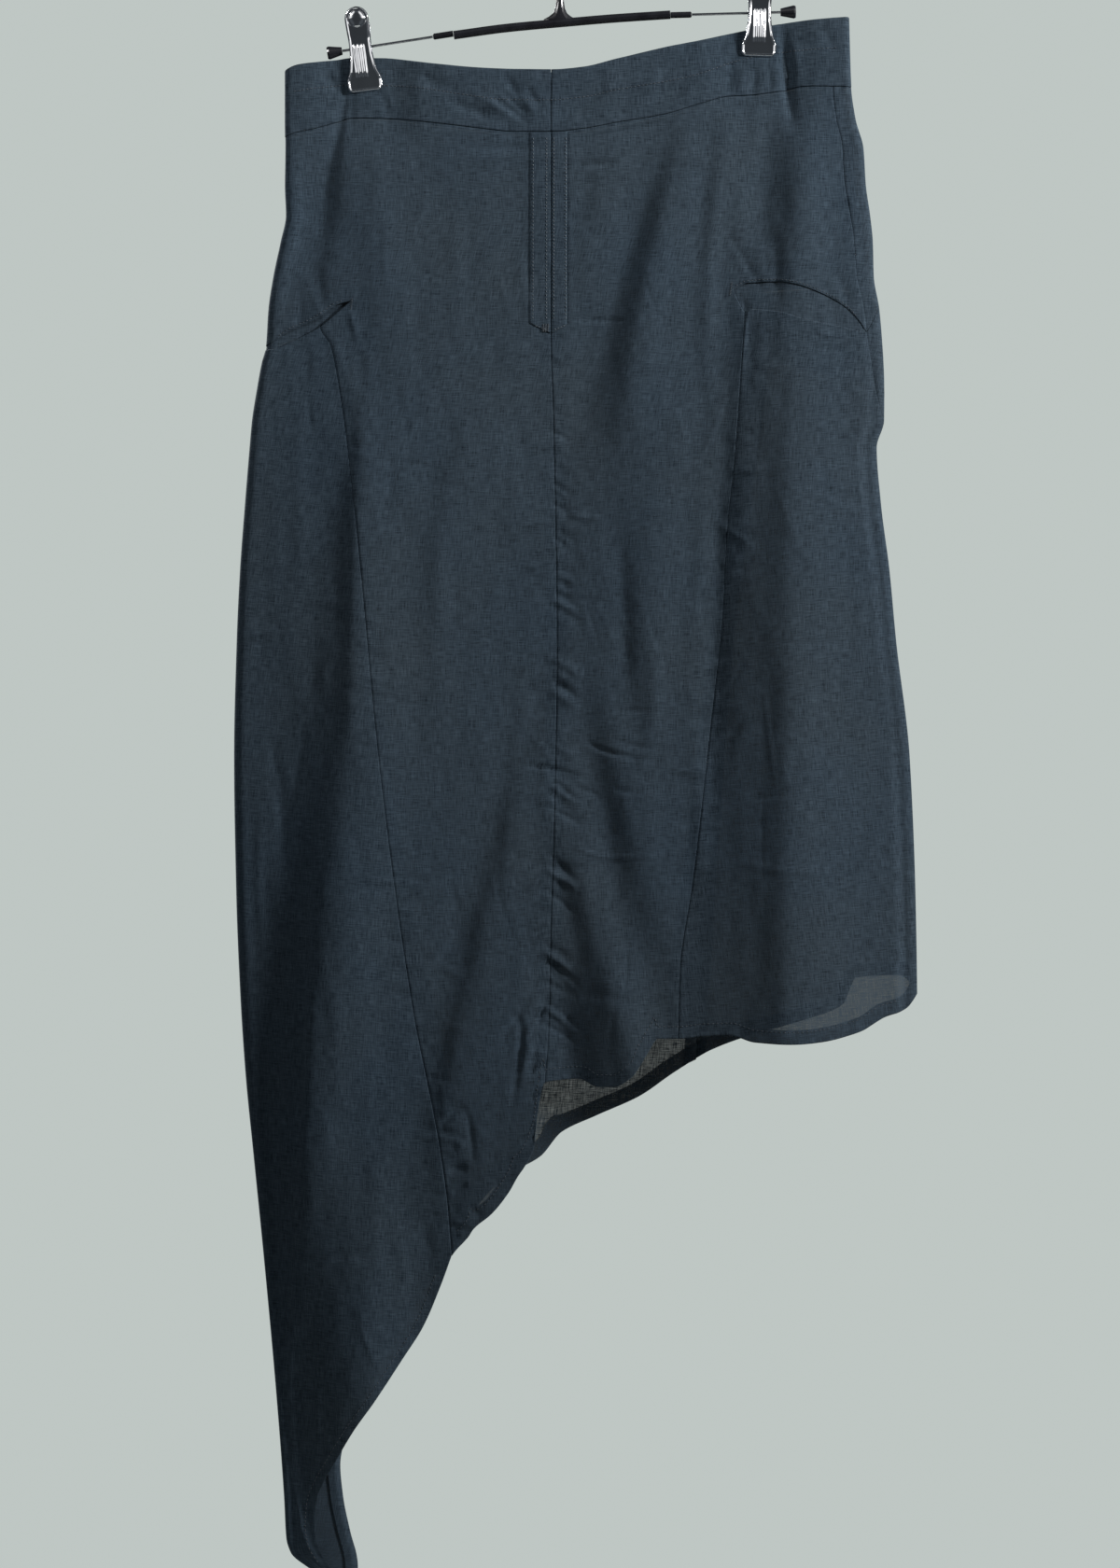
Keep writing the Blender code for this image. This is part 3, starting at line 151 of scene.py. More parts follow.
# %% Large folds: three points (x, z), half width to the left and right, and how far it stands out
FRONT_FOLDS = [
    # the long fold down the left and into the tail
    (-140, -330, -156, -620, -172, -1000, 22, 34, 6.5),
    (-160, -560, -184, -860, -200, -1230, 28, 60, 8.5),
    (-150, -940, -150, -1100, -156, -1360, 38, 30, 14.5),
    (-228, -860, -222, -1040, -214, -1240, 16, 24, -3.5),
    # the hips
    (-150, -150, -146, -240, -142, -350, 24, 24, 2.6),
    (-180, -150, -188, -240, -202, -330, 14, 13, -3.6),
    (198, -140, 188, -230, 180, -325, 15, 18, 4),
    (160, -150, 157, -235, 150, -315, 13, 11, -2),
    # the valley at the right seam and the broad crest beside it
    (130, -240, 119, -500, 108, -840, 26, 15, -5.5),
    (184, -180, 178, -640, 172, -1250, 38, 60, 10.5),
    (174, -640, 172, -860, 168, -1200, 78, 110, 13),
    # from the right of the waistband down to the middle
    (108, -150, 75, -270, 44, -450, 13, 24, 4.8),
    (96, -150, 49, -280, 10, -460, 22, 12, -3),
    (-50, -340, -78, -440, -98, -590, 11, 26, 2.2),
    # the middle sinks towards the centre seam
    (-8, -200, -2, -570, -8, -960, 100, 112, -13.5),
    (-10, -590, -66, -770, -118, -1030, 20, 13, -2.4),
    (4, -600, -50, -770, -98, -1030, 14, 40, 2.6),
    (58, -440, 64, -530, 62, -650, 13, 20, 2.4),
    (120, -330, 110, -480, 100, -640, 9, 12, 1.6),
    (-6, -690, 14, -750, 70, -960, 15, 20, 4.6),
    (36, -600, 54, -700, 76, -820, 18, 20, 2.8),
    (34, -800, 52, -900, 60, -1010, 34, 26, 5.5),
]
DRAG = 1.25                             # how strongly the narrow drags show
FRONT_DRAGS = [
    (-184, -720, -194, -940, -210, -1150, 5, 30, 4),
    (-150, -360, -156, -500, -159, -660, 8, 14, 2),
    (-172, -150, -176, -205, -184, -290, 7, 7, -1.8),
    (180, -130, 176, -560, 170, -1200, 15, 30, 3),
    (133, -150, 116, -270, 114, -400, 7, 8, 1.6),
    (102, -560, 104, -660, 112, -790, 8, 8, 1),
    (42, -470, 49, -560, 53, -650, 9, 7, -1.2),
    (68, -560, 72, -610, 60, -690, 7, 8, 1),
    (16, -600, 27, -670, 54, -800, 12, 12, -2.2),
    (-4, -700, 4, -760, 24, -850, 8, 9, -1),
    (-6, -800, 4, -870, 20, -960, 18, 16, -4),
    (-22, -560, -32, -640, -40, -740, 7, 10, 0.9),
    (-60, -390, -40, -450, -34, -520, 9, 12, 0.8),
    (-104, -460, -92, -560, -96, -660, 9, 10, 0.8),
]
BACK_FOLDS = [
    (-150, -330, -166, -640, -196, -1160, 14, 14, -7),
    (-100, -300, -112, -620, -120, -1100, 24, 24, 6),
    (-40, -260, -46, -600, -30, -1030, 18, 18, -6),
    (30, -300, 36, -620, 48, -1000, 24, 24, 6),
    (100, -280, 92, -560, 96, -930, 17, 17, -6),
    (180, -300, 186, -600, 190, -900, 28, 28, 6.5),
]


def fold_height(folds, x, z):
    total = np.zeros_like(x)
    for x1, z1, x2, z2, x3, z3, left, right, out in folds:
        centre = (x1 * (z - z2) * (z - z3) / ((z1 - z2) * (z1 - z3))
                  + x2 * (z - z1) * (z - z3) / ((z2 - z1) * (z2 - z3))
                  + x3 * (z - z1) * (z - z2) / ((z3 - z1) * (z3 - z2)))
        along = np.sin(math.pi * np.clip((z1 - z) / (z1 - z3), 0.0, 1.0))
        width = np.where(x < centre, left, right)
        total += out * along * np.exp(-((x - centre) / width) ** 2)
    return total


CLIPS = [(-153.8, -114.3, 7.3), (154.0, -87.1, -1.6)]   # pivot x and z, lean in degrees
PINCH_HALF_DEPTH, JAW_BELOW_PIVOT = 1.95, 34.0
PRESSED_ACROSS, PRESSED_BELOW = (20.0, 46.0), (12.0, 62.0)   # how far it is pressed fully, and at all


def pinch(x, z):
    """1 where a clip presses both layers together, 0 away from it."""
    most = np.zeros_like(x)
    for pivot_x, pivot_z, lean in CLIPS:
        jaw_x = pivot_x + JAW_BELOW_PIVOT * math.sin(math.radians(lean))
        jaw_z = pivot_z - JAW_BELOW_PIVOT * math.cos(math.radians(lean))
        across = 1.0 - smooth_step(*PRESSED_ACROSS, np.abs(x - jaw_x))
        most = np.maximum(most, across * (1.0 - smooth_step(*PRESSED_BELOW, jaw_z - z)))
    return most


print("large folds:", len(FRONT_FOLDS), "in front,", len(BACK_FOLDS), "behind")

# %% [markdown]
# ## Creases and puckers
# Linen creases where it was folded, drags where something pulls on it, and puckers where thread has
# drawn a seam together. A crease is a narrow hill or valley along a curve through three points, and
# it fades at both ends. They are placed one by one, each with its own length, width and height. Those
# that run across are the sharper ones, because the skirt was folded that way.

# %% Creases: three points (x, z), half width, and height
FRONT_CREASES = [
    # fine lines across the middle, where it was folded
    (-28.8, -484.5, -17, -482, -5.8, -480.2, 2, 0.8), (0, -473.7, 16, -477, 32.4, -478, 2, 0.7),
    (-28.8, -516.9, -16, -514, -3.6, -510.4, 2, 0.8), (41, -624.9, 57, -626, 72.7, -624.9, 2, -0.7),
    (18, -648, 42, -659, 73, -663, 1.7, -1), (38, -646, 60, -653.6, 84, -653, 1.8, -0.6),
    (-30, -669, -6, -670, 24, -680, 1.7, -0.9), (40, -685, 54, -688.4, 69, -686.6, 1.7, -0.6),
    (11, -684, 22, -688, 31, -691, 1.7, -0.6), (85, -672.4, 98, -672, 110.9, -668.8, 2, 0.8),
    (8, -729, 38, -738, 74, -735, 1.8, 0.6), (-250, -573, -233, -568, -216, -563, 2.4, 0.9),
    # round the placket and under the waistband
    (9, -324, 34, -325.4, 53, -324.4, 1.5, -0.8), (7, -188.6, 47, -179.6, 88, -171.5, 1.7, -1),
    (7, -206.6, 28, -205.4, 46, -203, 2.2, -0.8), (8, -253, 15, -248.6, 27, -247, 2.8, -0.6),
    (-62, -196, -42, -192.6, -22, -191.6, 2.6, -0.6), (-70, -205, -52, -200, -30, -198.6, 3.4, 0.5),
    # round the pocket mouths
    (-187, -280, -184.4, -300, -183.6, -321, 4, -0.9), (-201, -300, -200, -318, -200.6, -333, 3, -0.6),
    (-160.4, -317.5, -158.6, -329, -154.6, -347, 2.8, 1.1), (-155, -349, -152.4, -364, -150, -384, 4.6, -0.8),
    (-194.5, -345, -194.2, -358, -195, -374, 3.6, -0.7), (-177, -325, -175.6, -333, -176.4, -343, 2.6, -0.5),
    (166.8, -258, 166.2, -286, 166.6, -322, 4.2, -1.3), (155, -262, 153, -279, 152, -296, 4.5, 0.7),
    (143.6, -318, 142, -336, 138.6, -368, 1.5, 0.7), (140, -309, 142.4, -316, 141.6, -324, 1.8, -0.9),
    (148, -322, 146.4, -346, 143, -384, 5, -0.9), (196, -335, 206, -337.4, 219, -336, 1.8, 0.5),
    (192, -346, 208, -348.6, 224, -346, 2.2, -0.5), (212, -286, 218, -302, 221, -318, 3.4, -0.6),
    # waistband, round the clips and drawn to the middle
    (-163, -136, -168, -165, -176, -205, 4, -1.9), (-158, -146, -159.6, -158, -161, -186, 2.6, -1),
    (-181, -134, -176, -142, -170, -149, 4.2, -0.9), (-140, -148, -134, -160, -133, -180, 2.8, -0.8),
    (-118, -132, -96, -142, -74, -151, 5, -0.8), (-88, -156, -66, -164, -44, -172, 4, -0.9),
    (-70, -150, -50, -160, -32, -171, 3, 0.8), (-54, -153, -38, -163, -25, -174, 2.4, -0.9),
    (-42, -136, -34, -148, -24, -158, 3.4, -1.1), (-36, -144, -27, -156, -18, -166, 2.2, 0.9),
    (-27, -142, -21, -153, -13, -161, 2.6, -0.9), (-46, -146, -33, -160, -22, -170, 2, -0.7),
    (2, -170, 17, -160, 36, -148, 3.6, -0.9), (14, -176, 40, -163, 70, -149, 4.6, -0.8),
    (36, -152, 60, -142, 84, -133, 4, 0.7), (66, -158, 88, -146, 110, -134, 5.5, -1),
    (170.6, -92, 174.5, -130, 180, -186, 4.6, -2.3), (178, -104, 182, -122, 186, -142, 4, 0.8),
    (177, -126, 175, -146, 178, -172, 3, -1), (151, -130, 149.4, -143, 148, -156, 3, -1.1),
    (143, -128, 140, -140, 139, -150, 2.6, 0.8), (134, -124, 131, -138, 130, -152, 3, -0.9),
    (200, -95, 206, -108, 212, -122, 4, -0.6), (160, -128, 162, -140, 161, -152, 2.4, -0.8),
    # lower left, between the two seams
    (-34, -858, -30, -880, -38, -934, 3, -1.6), (-20, -862, -25, -884, -30, -915, 4, 1.5),
    (-8, -842, -18, -866, -28, -884, 2.2, -1), (-22, -846, -34, -862, -45, -882, 3, -0.8),
    (-92, -946, -80, -932, -70, -930, 2.2, -0.8), (-72, -930, -68, -950, -67, -972, 2.6, -1),
    (-85, -980, -78, -976, -70, -976, 3.2, -1.3), (-83, -995, -76, -990, -70, -988, 2.6, -0.9),
    (-80, -962, -76, -958, -72, -958, 3, 0.8), (-70, -1006, -64, -1010, -60, -1014, 3.2, -0.7),
    (-110, -1010, -102, -1030, -100, -1060, 5, -0.9), (-126, -1020, -120, -1056, -122, -1092, 5, 0.8),
    # the tail
    (-197, -980, -207, -1060, -211, -1132, 3, -1.2), (-203, -1090, -208, -1150, -203, -1200, 2.4, 1),
    (-206, -1192, -206, -1222, -197, -1254, 2.6, 1), (-196, -1150, -199, -1185, -195, -1230, 3, -0.9),
    (-203, -1240, -194, -1268, -182, -1284, 2.6, 0.9), (-187, -1130, -186, -1170, -189, -1215, 3.2, 0.7),
    (-229, -700, -231, -760, -227, -830, 4, 0.7), (-222, -640, -214, -700, -212, -770, 5, -0.7),
]
BACK_CREASES = [
    (-120, -152, -92, -158, -60, -166, 4, -0.8), (40, -160, 72, -150, 106, -140, 4.4, -0.9),
    (-166, -144, -170, -158, -174, -182, 3.2, -1.3), (168, -116, 172, -130, 178, -156, 3.4, -1.4),
    (-140, -150, -134, -162, -130, -184, 2.8, -0.9), (140, -124, 136, -140, 134, -160, 3, -1),
    (-70, -240, -20, -252, 40, -246, 3.4, -0.7), (-30, -266, 20, -272, 80, -262, 3, 0.6),
    (-90, -482, -60, -478, -20, -480, 2, 0.8), (10, -511, 44, -516, 84, -512, 2, 0.7),
    (-60, -626, -10, -632, 30, -625, 2, -0.8), (-20, -662, 30, -670, 76, -664, 1.9, -0.9),
    (60, -738, 100, -742, 150, -734, 2.2, 0.7), (-130, -700, -96, -708, -60, -700, 2.2, -0.7),
    (-150, -860, -138, -900, -142, -960, 4, -0.9), (-60, -800, -50, -850, -56, -910, 4.6, 1),
    (90, -700, 82, -760, 86, -830, 5, -0.9), (10, -720, 4, -790, 12, -860, 4.4, 0.9),
    (-196, -1020, -204, -1080, -207, -1150, 3.4, -1), (-190, -1110, -193, -1170, -189, -1230, 3, 0.8),
    (200, -420, 196, -470, 202, -540, 4.6, -0.9), (-200, -430, -196, -500, -203, -570, 5, 0.8),
]


HILLS = 0.35                            # the share of puckers that stand out, while the rest sink in


def puckers(seam_x, top, bottom, side, drop, seed, strength):
    """Short uneven creases that run off a seam, to side -1 or 1; drop says how steeply they fall."""
    draw = np.random.default_rng(seed)
    rows, z = [], top
    while z > bottom:
        grown = smooth_step(top, 0.5 * (top + bottom), z)
        length = draw.uniform(7.0, 15.0) + 13.0 * grown * draw.uniform(0.3, 1.0)
        fall = drop * length * draw.uniform(0.5, 1.3)
        x = float(seam_x(z))
        height = strength * (0.45 + 0.55 * grown) * draw.uniform(0.35, 1.0)
        height *= 1.0 if draw.random() < HILLS else -1.0
        rows.append((x - 0.4 * length * side, z + 0.4 * fall, x + 0.4 * length * side, z - 0.35 * fall,
                     x + length * side, z - fall, draw.uniform(1.5, 4.0), height))
        z -= draw.uniform(4.0, 10.0) if draw.random() < 0.6 else draw.uniform(16.0, 42.0)
    return rows


def faint_creases(seed, count, steep):
    """Faint creases all over, most of them running down."""
    draw = np.random.default_rng(seed)
    rows = []
    for _ in range(count):
        x, z = draw.uniform(-225.0, 245.0), draw.uniform(-1150.0, -200.0)
        length = draw.uniform(22.0, 95.0)
        angle = math.radians(draw.normal(90.0, 16.0) if draw.random() < steep else draw.normal(0.0, 14.0))
        run, fall = length * math.cos(angle) / 2.0, length * math.sin(angle) / 2.0
        bend = draw.uniform(-0.12, 0.12) * length
        rows.append((x - run, z + fall, x + bend * math.sin(angle), z + bend * math.cos(angle),
                     x + run, z - fall, draw.uniform(1.6, 4.2),
                     draw.choice([-1.0, 1.0]) * draw.uniform(0.18, 0.5)))
    return rows


CREASE_PARTS = 10                       # straight parts that stand for one crease's curve
CREASE_REACH = 2.6                      # half widths past which a crease is too low to count
SHARPER_ACROSS = 0.8


def crease_sum(rows, x, z):
    total = np.zeros_like(x)
    t = np.linspace(0.0, 1.0, CREASE_PARTS + 1)
    for x1, z1, x2, z2, x3, z3, width, out in rows:
        turn_x, turn_z = 2.0 * x2 - (x1 + x3) / 2.0, 2.0 * z2 - (z1 + z3) / 2.0
        out = out * (1.0 + SHARPER_ACROSS * abs(x3 - x1) / math.hypot(x3 - x1, z3 - z1))
        px = (1 - t) ** 2 * x1 + 2 * t * (1 - t) * turn_x + t**2 * x3
        pz = (1 - t) ** 2 * z1 + 2 * t * (1 - t) * turn_z + t**2 * z3
        reach = CREASE_REACH * width
        near = ((x > px.min() - reach) & (x < px.max() + reach)
                & (z > pz.min() - reach) & (z < pz.max() + reach))
        if not near.any():
            continue
        at_x, at_z = x[near], z[near]
        best, along = np.full(at_x.shape, 1e9), np.zeros(at_x.shape)
        for k in range(CREASE_PARTS):
            dx, dz = px[k + 1] - px[k], pz[k + 1] - pz[k]
            share = np.clip(((at_x - px[k]) * dx + (at_z - pz[k]) * dz) / (dx * dx + dz * dz), 0.0, 1.0)
            apart = (at_x - px[k] - share * dx) ** 2 + (at_z - pz[k] - share * dz) ** 2
            closer = apart < best
            best = np.where(closer, apart, best)
            along = np.where(closer, (k + share) / CREASE_PARTS, along)
        total[near] += out * np.sin(math.pi * along) ** 0.8 * np.exp(-best / width**2)
    return total


# %% [markdown]
# No cloth is quite even between its creases, so a slow random swell of under a millimetre lies over
# all of it. It comes from seeded numbers, which makes it the same on every run.

# %% The cloth's slight unevenness
SWELL_FROM, SWELL_SIZE = (-300.0, -1320.0), (620, 1300)


def swell(x, z, across, along, seed):
    """Smooth seeded noise from -1 to 1 with cells of that size, in mm."""
    cells = int(SWELL_SIZE[0] / across) + 3, int(SWELL_SIZE[1] / along) + 3
    values = np.random.default_rng(seed).uniform(-1.0, 1.0, cells)
    u, v = (x - SWELL_FROM[0]) / across, (z - SWELL_FROM[1]) / along
    i, j = np.floor(u).astype(int), np.floor(v).astype(int)
    a, b = smooth_step(0.0, 1.0, u - i), smooth_step(0.0, 1.0, v - j)
    return ((values[i, j] * (1 - a) + values[i + 1, j] * a) * (1 - b)
            + (values[i, j + 1] * (1 - a) + values[i + 1, j + 1] * a) * b)


def unevenness(x, z, seed):
    return (0.55 * swell(x, z, 24.0, 85.0, seed) + 0.3 * swell(x, z, 10.0, 31.0, seed + 1)
            + 0.12 * swell(x, z, 5.0, 9.0, seed + 2))


# %% [markdown]
# `cloth_point` puts it all together: it takes places on the ring and gives points in space. `lift`
# moves a point off the surface, so a hem turned up inside has a negative one and the placket's
# strips, which lie on the front, a positive one.

# %% Points on the cloth
def ring(p, z):
    """Wraps p, and says where it lies: on the front, on the back, or round which fold."""
    flat, turn = flat_width(z), half_turn(z)
    p = np.where(p > 2.0 * flat + turn, p - 2.0 * (flat + turn), p)
    return p, flat, turn, p <= flat


def x_at(p, z):
    p, flat, turn, on_front = ring(p, z)
    left, right, roll = left_edge(z), right_edge(z), fold_radius(z)
    x = np.where(on_front, left + roll + p, right - roll - (p - flat - turn))
    x = np.where(p < 0.0, left + roll - roll * np.sin(-p / roll), x)
    return np.where((p > flat) & (p < flat + turn), right - roll + roll * np.sin((p - flat) / roll), x)


EDGE_FADE, BOW_FULLNESS = 9.0, 1.3      # folds die out that far from a side, and how round the bow is
CALM_WHEN_HELD, SMALL_AT_SIDES = 0.7, 0.15


def surface(p, z, fine=True):
    """Points in mm on the skirt's outer face; fine adds the creases and the unevenness."""
    p, flat, turn, on_front = ring(p, z)
    round_left, round_right = p < 0.0, (p > flat) & (p < flat + turn)
    left, right, roll = left_edge(z), right_edge(z), fold_radius(z)
    x = x_at(p, z)
    flat_x = np.clip(x, left + roll, right - roll)
    across = (flat_x - left - roll) / flat * 2.0 - 1.0
    bow = (1.0 - np.clip(across * across, 0.0, 1.0)) ** BOW_FULLNESS
    fade = (smooth_step(0.0, EDGE_FADE, flat_x - left - roll)
            * smooth_step(0.0, EDGE_FADE, right - roll - flat_x))
    depth = roll + np.where(on_front, front_bow(z), back_bow(z)) * bow
    in_front = fold_height(FRONT_FOLDS, x, z) + DRAG * fold_height(FRONT_DRAGS, x, z)
    depth += fade * np.where(on_front, in_front, fold_height(BACK_FOLDS, x, z))
    held = pinch(x, z)
    depth = depth * (1.0 - held) + PINCH_HALF_DEPTH * held
    if fine:
        small = np.zeros_like(x)
        for side, rows, seed in ((on_front, FRONT_CREASES, 11), (~on_front, BACK_CREASES, 41)):
            small[side] = (crease_sum(rows, x[side], z[side])
                           + (1.0 - CALM_WHEN_HELD * held[side]) * unevenness(x[side], z[side], seed))
        shown = SMALL_AT_SIDES + (1.0 - SMALL_AT_SIDES) * fade
        depth += shown * small * np.where(round_left | round_right, 0.0, 1.0)
    y = np.where(on_front, -depth, depth)
    y = np.where(round_left, -roll * np.cos(-p / roll), y)
    y = np.where(round_right, -roll * np.cos((p - flat) / roll), y)
    return np.stack([x, y, z], axis=-1)


def outward(p, z, step=1.5):
    along = surface(p + step, z, False) - surface(p - step, z, False)
    up = surface(p, z + step, False) - surface(p, z - step, False)
    normal = np.cross(along, up)
    return normal / np.linalg.norm(normal, axis=-1, keepdims=True)


def cloth_point(p, z, lift):
    """Points in metres, moved off the surface by lift."""
    p, z, lift = np.broadcast_arrays(np.asarray(p, float), np.asarray(z, float), np.asarray(lift, float))
    p, z = p.copy(), z.copy()
    return (surface(p, z) + outward(p, z) * lift[..., None]) * MM


print("a point on the front:", np.round(cloth_point([200.0], [-600.0], 0.0)[0], 4))

# %% [markdown]
# ## Seams and edges
# The pattern pieces meet on seams, which these tables give as x at each height, or as a height at
# each x for the waistband, the pocket mouths and the hems.

# %% Seams that run down
CENTRE_SEAM = curve([(-120, -6.8), (-180, -7), (-333, -7.2), (-408, -5), (-576, -2.4),
                     (-696, -4.3), (-797, -7.2), (-868, -8.6), (-910, -11.5)])
LEFT_SEAM = curve([(-120, -187), (-331, -184.3), (-345, -176.4), (-370, -171), (-438, -161.3),
                   (-531, -151.2), (-631, -141.8), (-725, -131), (-855, -112.3), (-958, -92.2),
                   (-999, -86.4), (-1043, -82.8)])
RIGHT_SEAM = curve([(-100, 145), (-293, 142.6), (-319, 141.8), (-352, 139.7), (-432, 133.9),
                    (-483, 128.6), (-555, 124.6), (-629, 116.6), (-761, 100.8), (-823, 91.6),
                    (-876, 90)])
BACK_LEFT_SEAM = curve([(-120, -183), (-325, -178.6), (-653, -144), (-1021, -72.5)])
BACK_RIGHT_SEAM = curve([(-100, 158), (-318, 154.8), (-581, 126), (-898, 104.4)])
SIDE_SEAM = curve([(-100, 10), (-150, 10), (-200, 11.5), (-270, 8.6), (-316, 5.6),
                   (-334, 5), (-370, 1.5), (-430, -11), (-900, -13)])
TAIL_FRONT = curve([(-1043, -82.8), (-1064.8, -90.7), (-1097.2, -104.4), (-1123.2, -121), (-1153.4, -141.1),
                    (-1175.7, -157), (-1200.2, -171.4), (-1218.2, -181.4), (-1232, -186.8),
                    (-1252.8, -188.6), (-1268.6, -185.8), (-1279.4, -179.3), (-1286.6, -174.2),
                    (-1296, -167)])
TAIL_BACK = curve([(-1021, -72.5), (-1043.2, -87.8), (-1070.6, -104.4), (-1124.6, -136.8), (-1171.4, -159.8),
                   (-1200.2, -170.6), (-1208, -171.4), (-1232.6, -169.2), (-1260.7, -163.4),
                   (-1279.4, -158.4), (-1287, -157.6), (-1296, -159.8)])
TAIL_TOP_FRONT, TAIL_TOP_BACK, TAIL_END = -1043.0, -1021.0, -1295.0
HALF_GAP = 0.15


def centre_seam(z):
    return front_at(z, CENTRE_SEAM(z))


def left_seam(z):
    return front_at(z, np.where(z > TAIL_TOP_FRONT, LEFT_SEAM(z), TAIL_FRONT(z)))


def right_seam(z):
    return front_at(z, RIGHT_SEAM(z))


def side_right(z):
    return flat_width(z) - SIDE_SEAM(z)


def side_left(z):
    return -0.65 * half_turn(z)


def side_left_from_back(z):
    return side_left(z) + 2.0 * (flat_width(z) + half_turn(z))


def back_right_seam(z):
    return back_at(z, BACK_RIGHT_SEAM(z))


def back_left_seam(z):
    return back_at(z, np.where(z > TAIL_TOP_BACK, BACK_LEFT_SEAM(z), TAIL_BACK(z)))


def shifted(line, distance):
    return lambda z: line(z) + distance


def up_to(seam):
    """The edge of the piece that ends at a seam, half a gap short of it."""
    return shifted(seam, -HALF_GAP)


def past(seam):
    """The edge of the piece that starts at a seam."""
    return shifted(seam, HALF_GAP)


def between(first, last, share):
    return lambda z: first(z) + (last(z) - first(z)) * share


FRONT_CREASES += (puckers(CENTRE_SEAM, -352.0, -905.0, 1.0, 0.75, 5, 1.2)
                  + puckers(CENTRE_SEAM, -352.0, -1000.0, -1.0, 0.55, 6, 0.8)
                  + puckers(LEFT_SEAM, -360.0, -1035.0, 1.0, 0.2, 7, 0.45)
                  + puckers(LEFT_SEAM, -360.0, -1035.0, -1.0, -0.2, 8, 0.35)
                  + puckers(RIGHT_SEAM, -340.0, -870.0, -1.0, 0.3, 9, 0.4)
                  + puckers(RIGHT_SEAM, -340.0, -870.0, 1.0, -0.3, 10, 0.4) + faint_creases(12, 130, 0.65))
BACK_CREASES += (puckers(BACK_LEFT_SEAM, -340.0, -1015.0, 1.0, 0.3, 21, 0.7)
                 + puckers(BACK_LEFT_SEAM, -340.0, -1015.0, -1.0, 0.3, 22, 0.6)
                 + puckers(BACK_RIGHT_SEAM, -335.0, -890.0, 1.0, 0.3, 23, 0.6)
                 + puckers(BACK_RIGHT_SEAM, -335.0, -890.0, -1.0, 0.3, 24, 0.7)
                 + faint_creases(25, 150, 0.65))
print("creases:", len(FRONT_CREASES), "in front,", len(BACK_CREASES), "behind")
LEFT_MOUTH_END = between(past(left_seam), up_to(centre_seam), 0.134)
RIGHT_MOUTH_END = between(past(centre_seam), up_to(right_seam), 0.94)
print("centre seam at p", round(float(centre_seam(np.array(-500.0))), 1))

# %% Edges that run across
WAISTBAND = [  # x, top edge, seam with the panels
    (-212, -132, -183.6), (-203, -128.2, -180.5), (-188, -126, -177), (-172, -124, -172),
    (-160.5, -122.4, -169), (-138, -122.4, -169.2), (-101.5, -126.7, -172.8), (-65, -130.2, -177.1),
    (-37, -131.4, -180), (-7, -131.8, -180.2), (17.5, -129.9, -177.8), (45, -123.2, -172.8),
    (81.5, -114.4, -166.2), (109, -109, -158), (129, -104.2, -152.4), (148, -100.2, -151.2),
    (169, -96.2, -148.4), (188, -93.9, -144.9), (225, -90.8, -145),
]
band_top, band_seam = curve(WAISTBAND, 1), curve(WAISTBAND, 2)
left_mouth_upper = curve([(-230, -346.5), (-225, -344), (-209.5, -334.5), (-188.6, -325),
                          (-171, -313.5), (-161.3, -311)])
left_mouth_lower = curve([(-230, -346.9), (-222, -347.4), (-206, -341), (-193, -335),
                          (-184, -330), (-171, -319.5), (-161.3, -311.2)])
right_mouth_upper = curve([(133, -302), (144, -297.4), (165.6, -296.6), (180, -298.8), (201.6, -306),
                           (219.6, -316), (230.4, -326.8), (236, -334), (260, -334.2)])
right_mouth_lower = curve([(133, -302.2), (137.5, -312.5), (141.8, -319), (148, -317.4), (165.6, -319),
                           (187.2, -325), (216, -330.6), (236, -334.4), (260, -334.6)])
right_yoke = curve([(0, -334.4), (16, -312), (33, -303), (60, -299), (130, -303)])
left_yoke = curve([(-60, -326), (-33, -334), (-10, -343), (0, -346.7)])
front_hem = curve([
    (-90, -1061), (-82.8, -1043.2), (-69.8, -1028), (-66.2, -1022.4), (-51.8, -1010), (-38.9, -993.6),
    (-32.4, -982), (-26.6, -973.4), (-20.2, -960.4), (-17.3, -935), (-13, -912.2), (-11.5, -910),
    (-0.7, -908.2), (14.4, -907.2), (28.8, -913), (40.3, -912.9), (54.7, -905), (61.9, -894.9),
    (69.8, -882), (74, -876.2), (91.4, -876.2), (110.9, -874), (128.9, -873.3), (147.6, -878.4),
    (177.1, -879.8), (198, -878.4), (229, -871.2), (249.1, -860.4), (265, -855.3), (277, -842)])
back_hem = curve([
    (-90, -1046), (-72, -1020.2), (-50.4, -995), (-32.4, -982), (-15.1, -972), (1.4, -953.2),
    (27.4, -941), (61.2, -925.9), (89.3, -906.4), (117.4, -889.2), (146.9, -878), (187.2, -866.1),
    (215, -856), (222, -850), (228, -832), (262.8, -830), (277, -842)])


HALVINGS, YOKE_STEPS = 36, 20
BAND_BETWEEN, MOUTH_BETWEEN, HEM_BETWEEN = (-80.0, -200.0), (-270.0, -370.0), (-760.0, -1090.0)


def meet(line, edge, high, low):
    """The heights at which lines that run down the cloth meet an edge given over x."""
    shape = line(np.asarray(high, float)).shape
    high, low = np.full(shape, float(high)), np.full(shape, float(low))
    for _ in range(HALVINGS):
        middle = (high + low) / 2.0
        above = middle > edge(x_at(line(middle), middle))
        high, low = np.where(above, middle, high), np.where(above, low, middle)
    return (high + low) / 2.0


def at_band(line):
    return meet(line, band_seam, *BAND_BETWEEN) - HALF_GAP


def at_mouth(edge, shift=0.0):
    return lambda line: meet(line, edge, *MOUTH_BETWEEN) + shift


def at_hem(edge):
    return lambda line: meet(line, edge, *HEM_BETWEEN)


def at_level(z):
    return lambda line: np.full(line(np.array(z)).shape, z)


YOKE_NEAR = -320.0


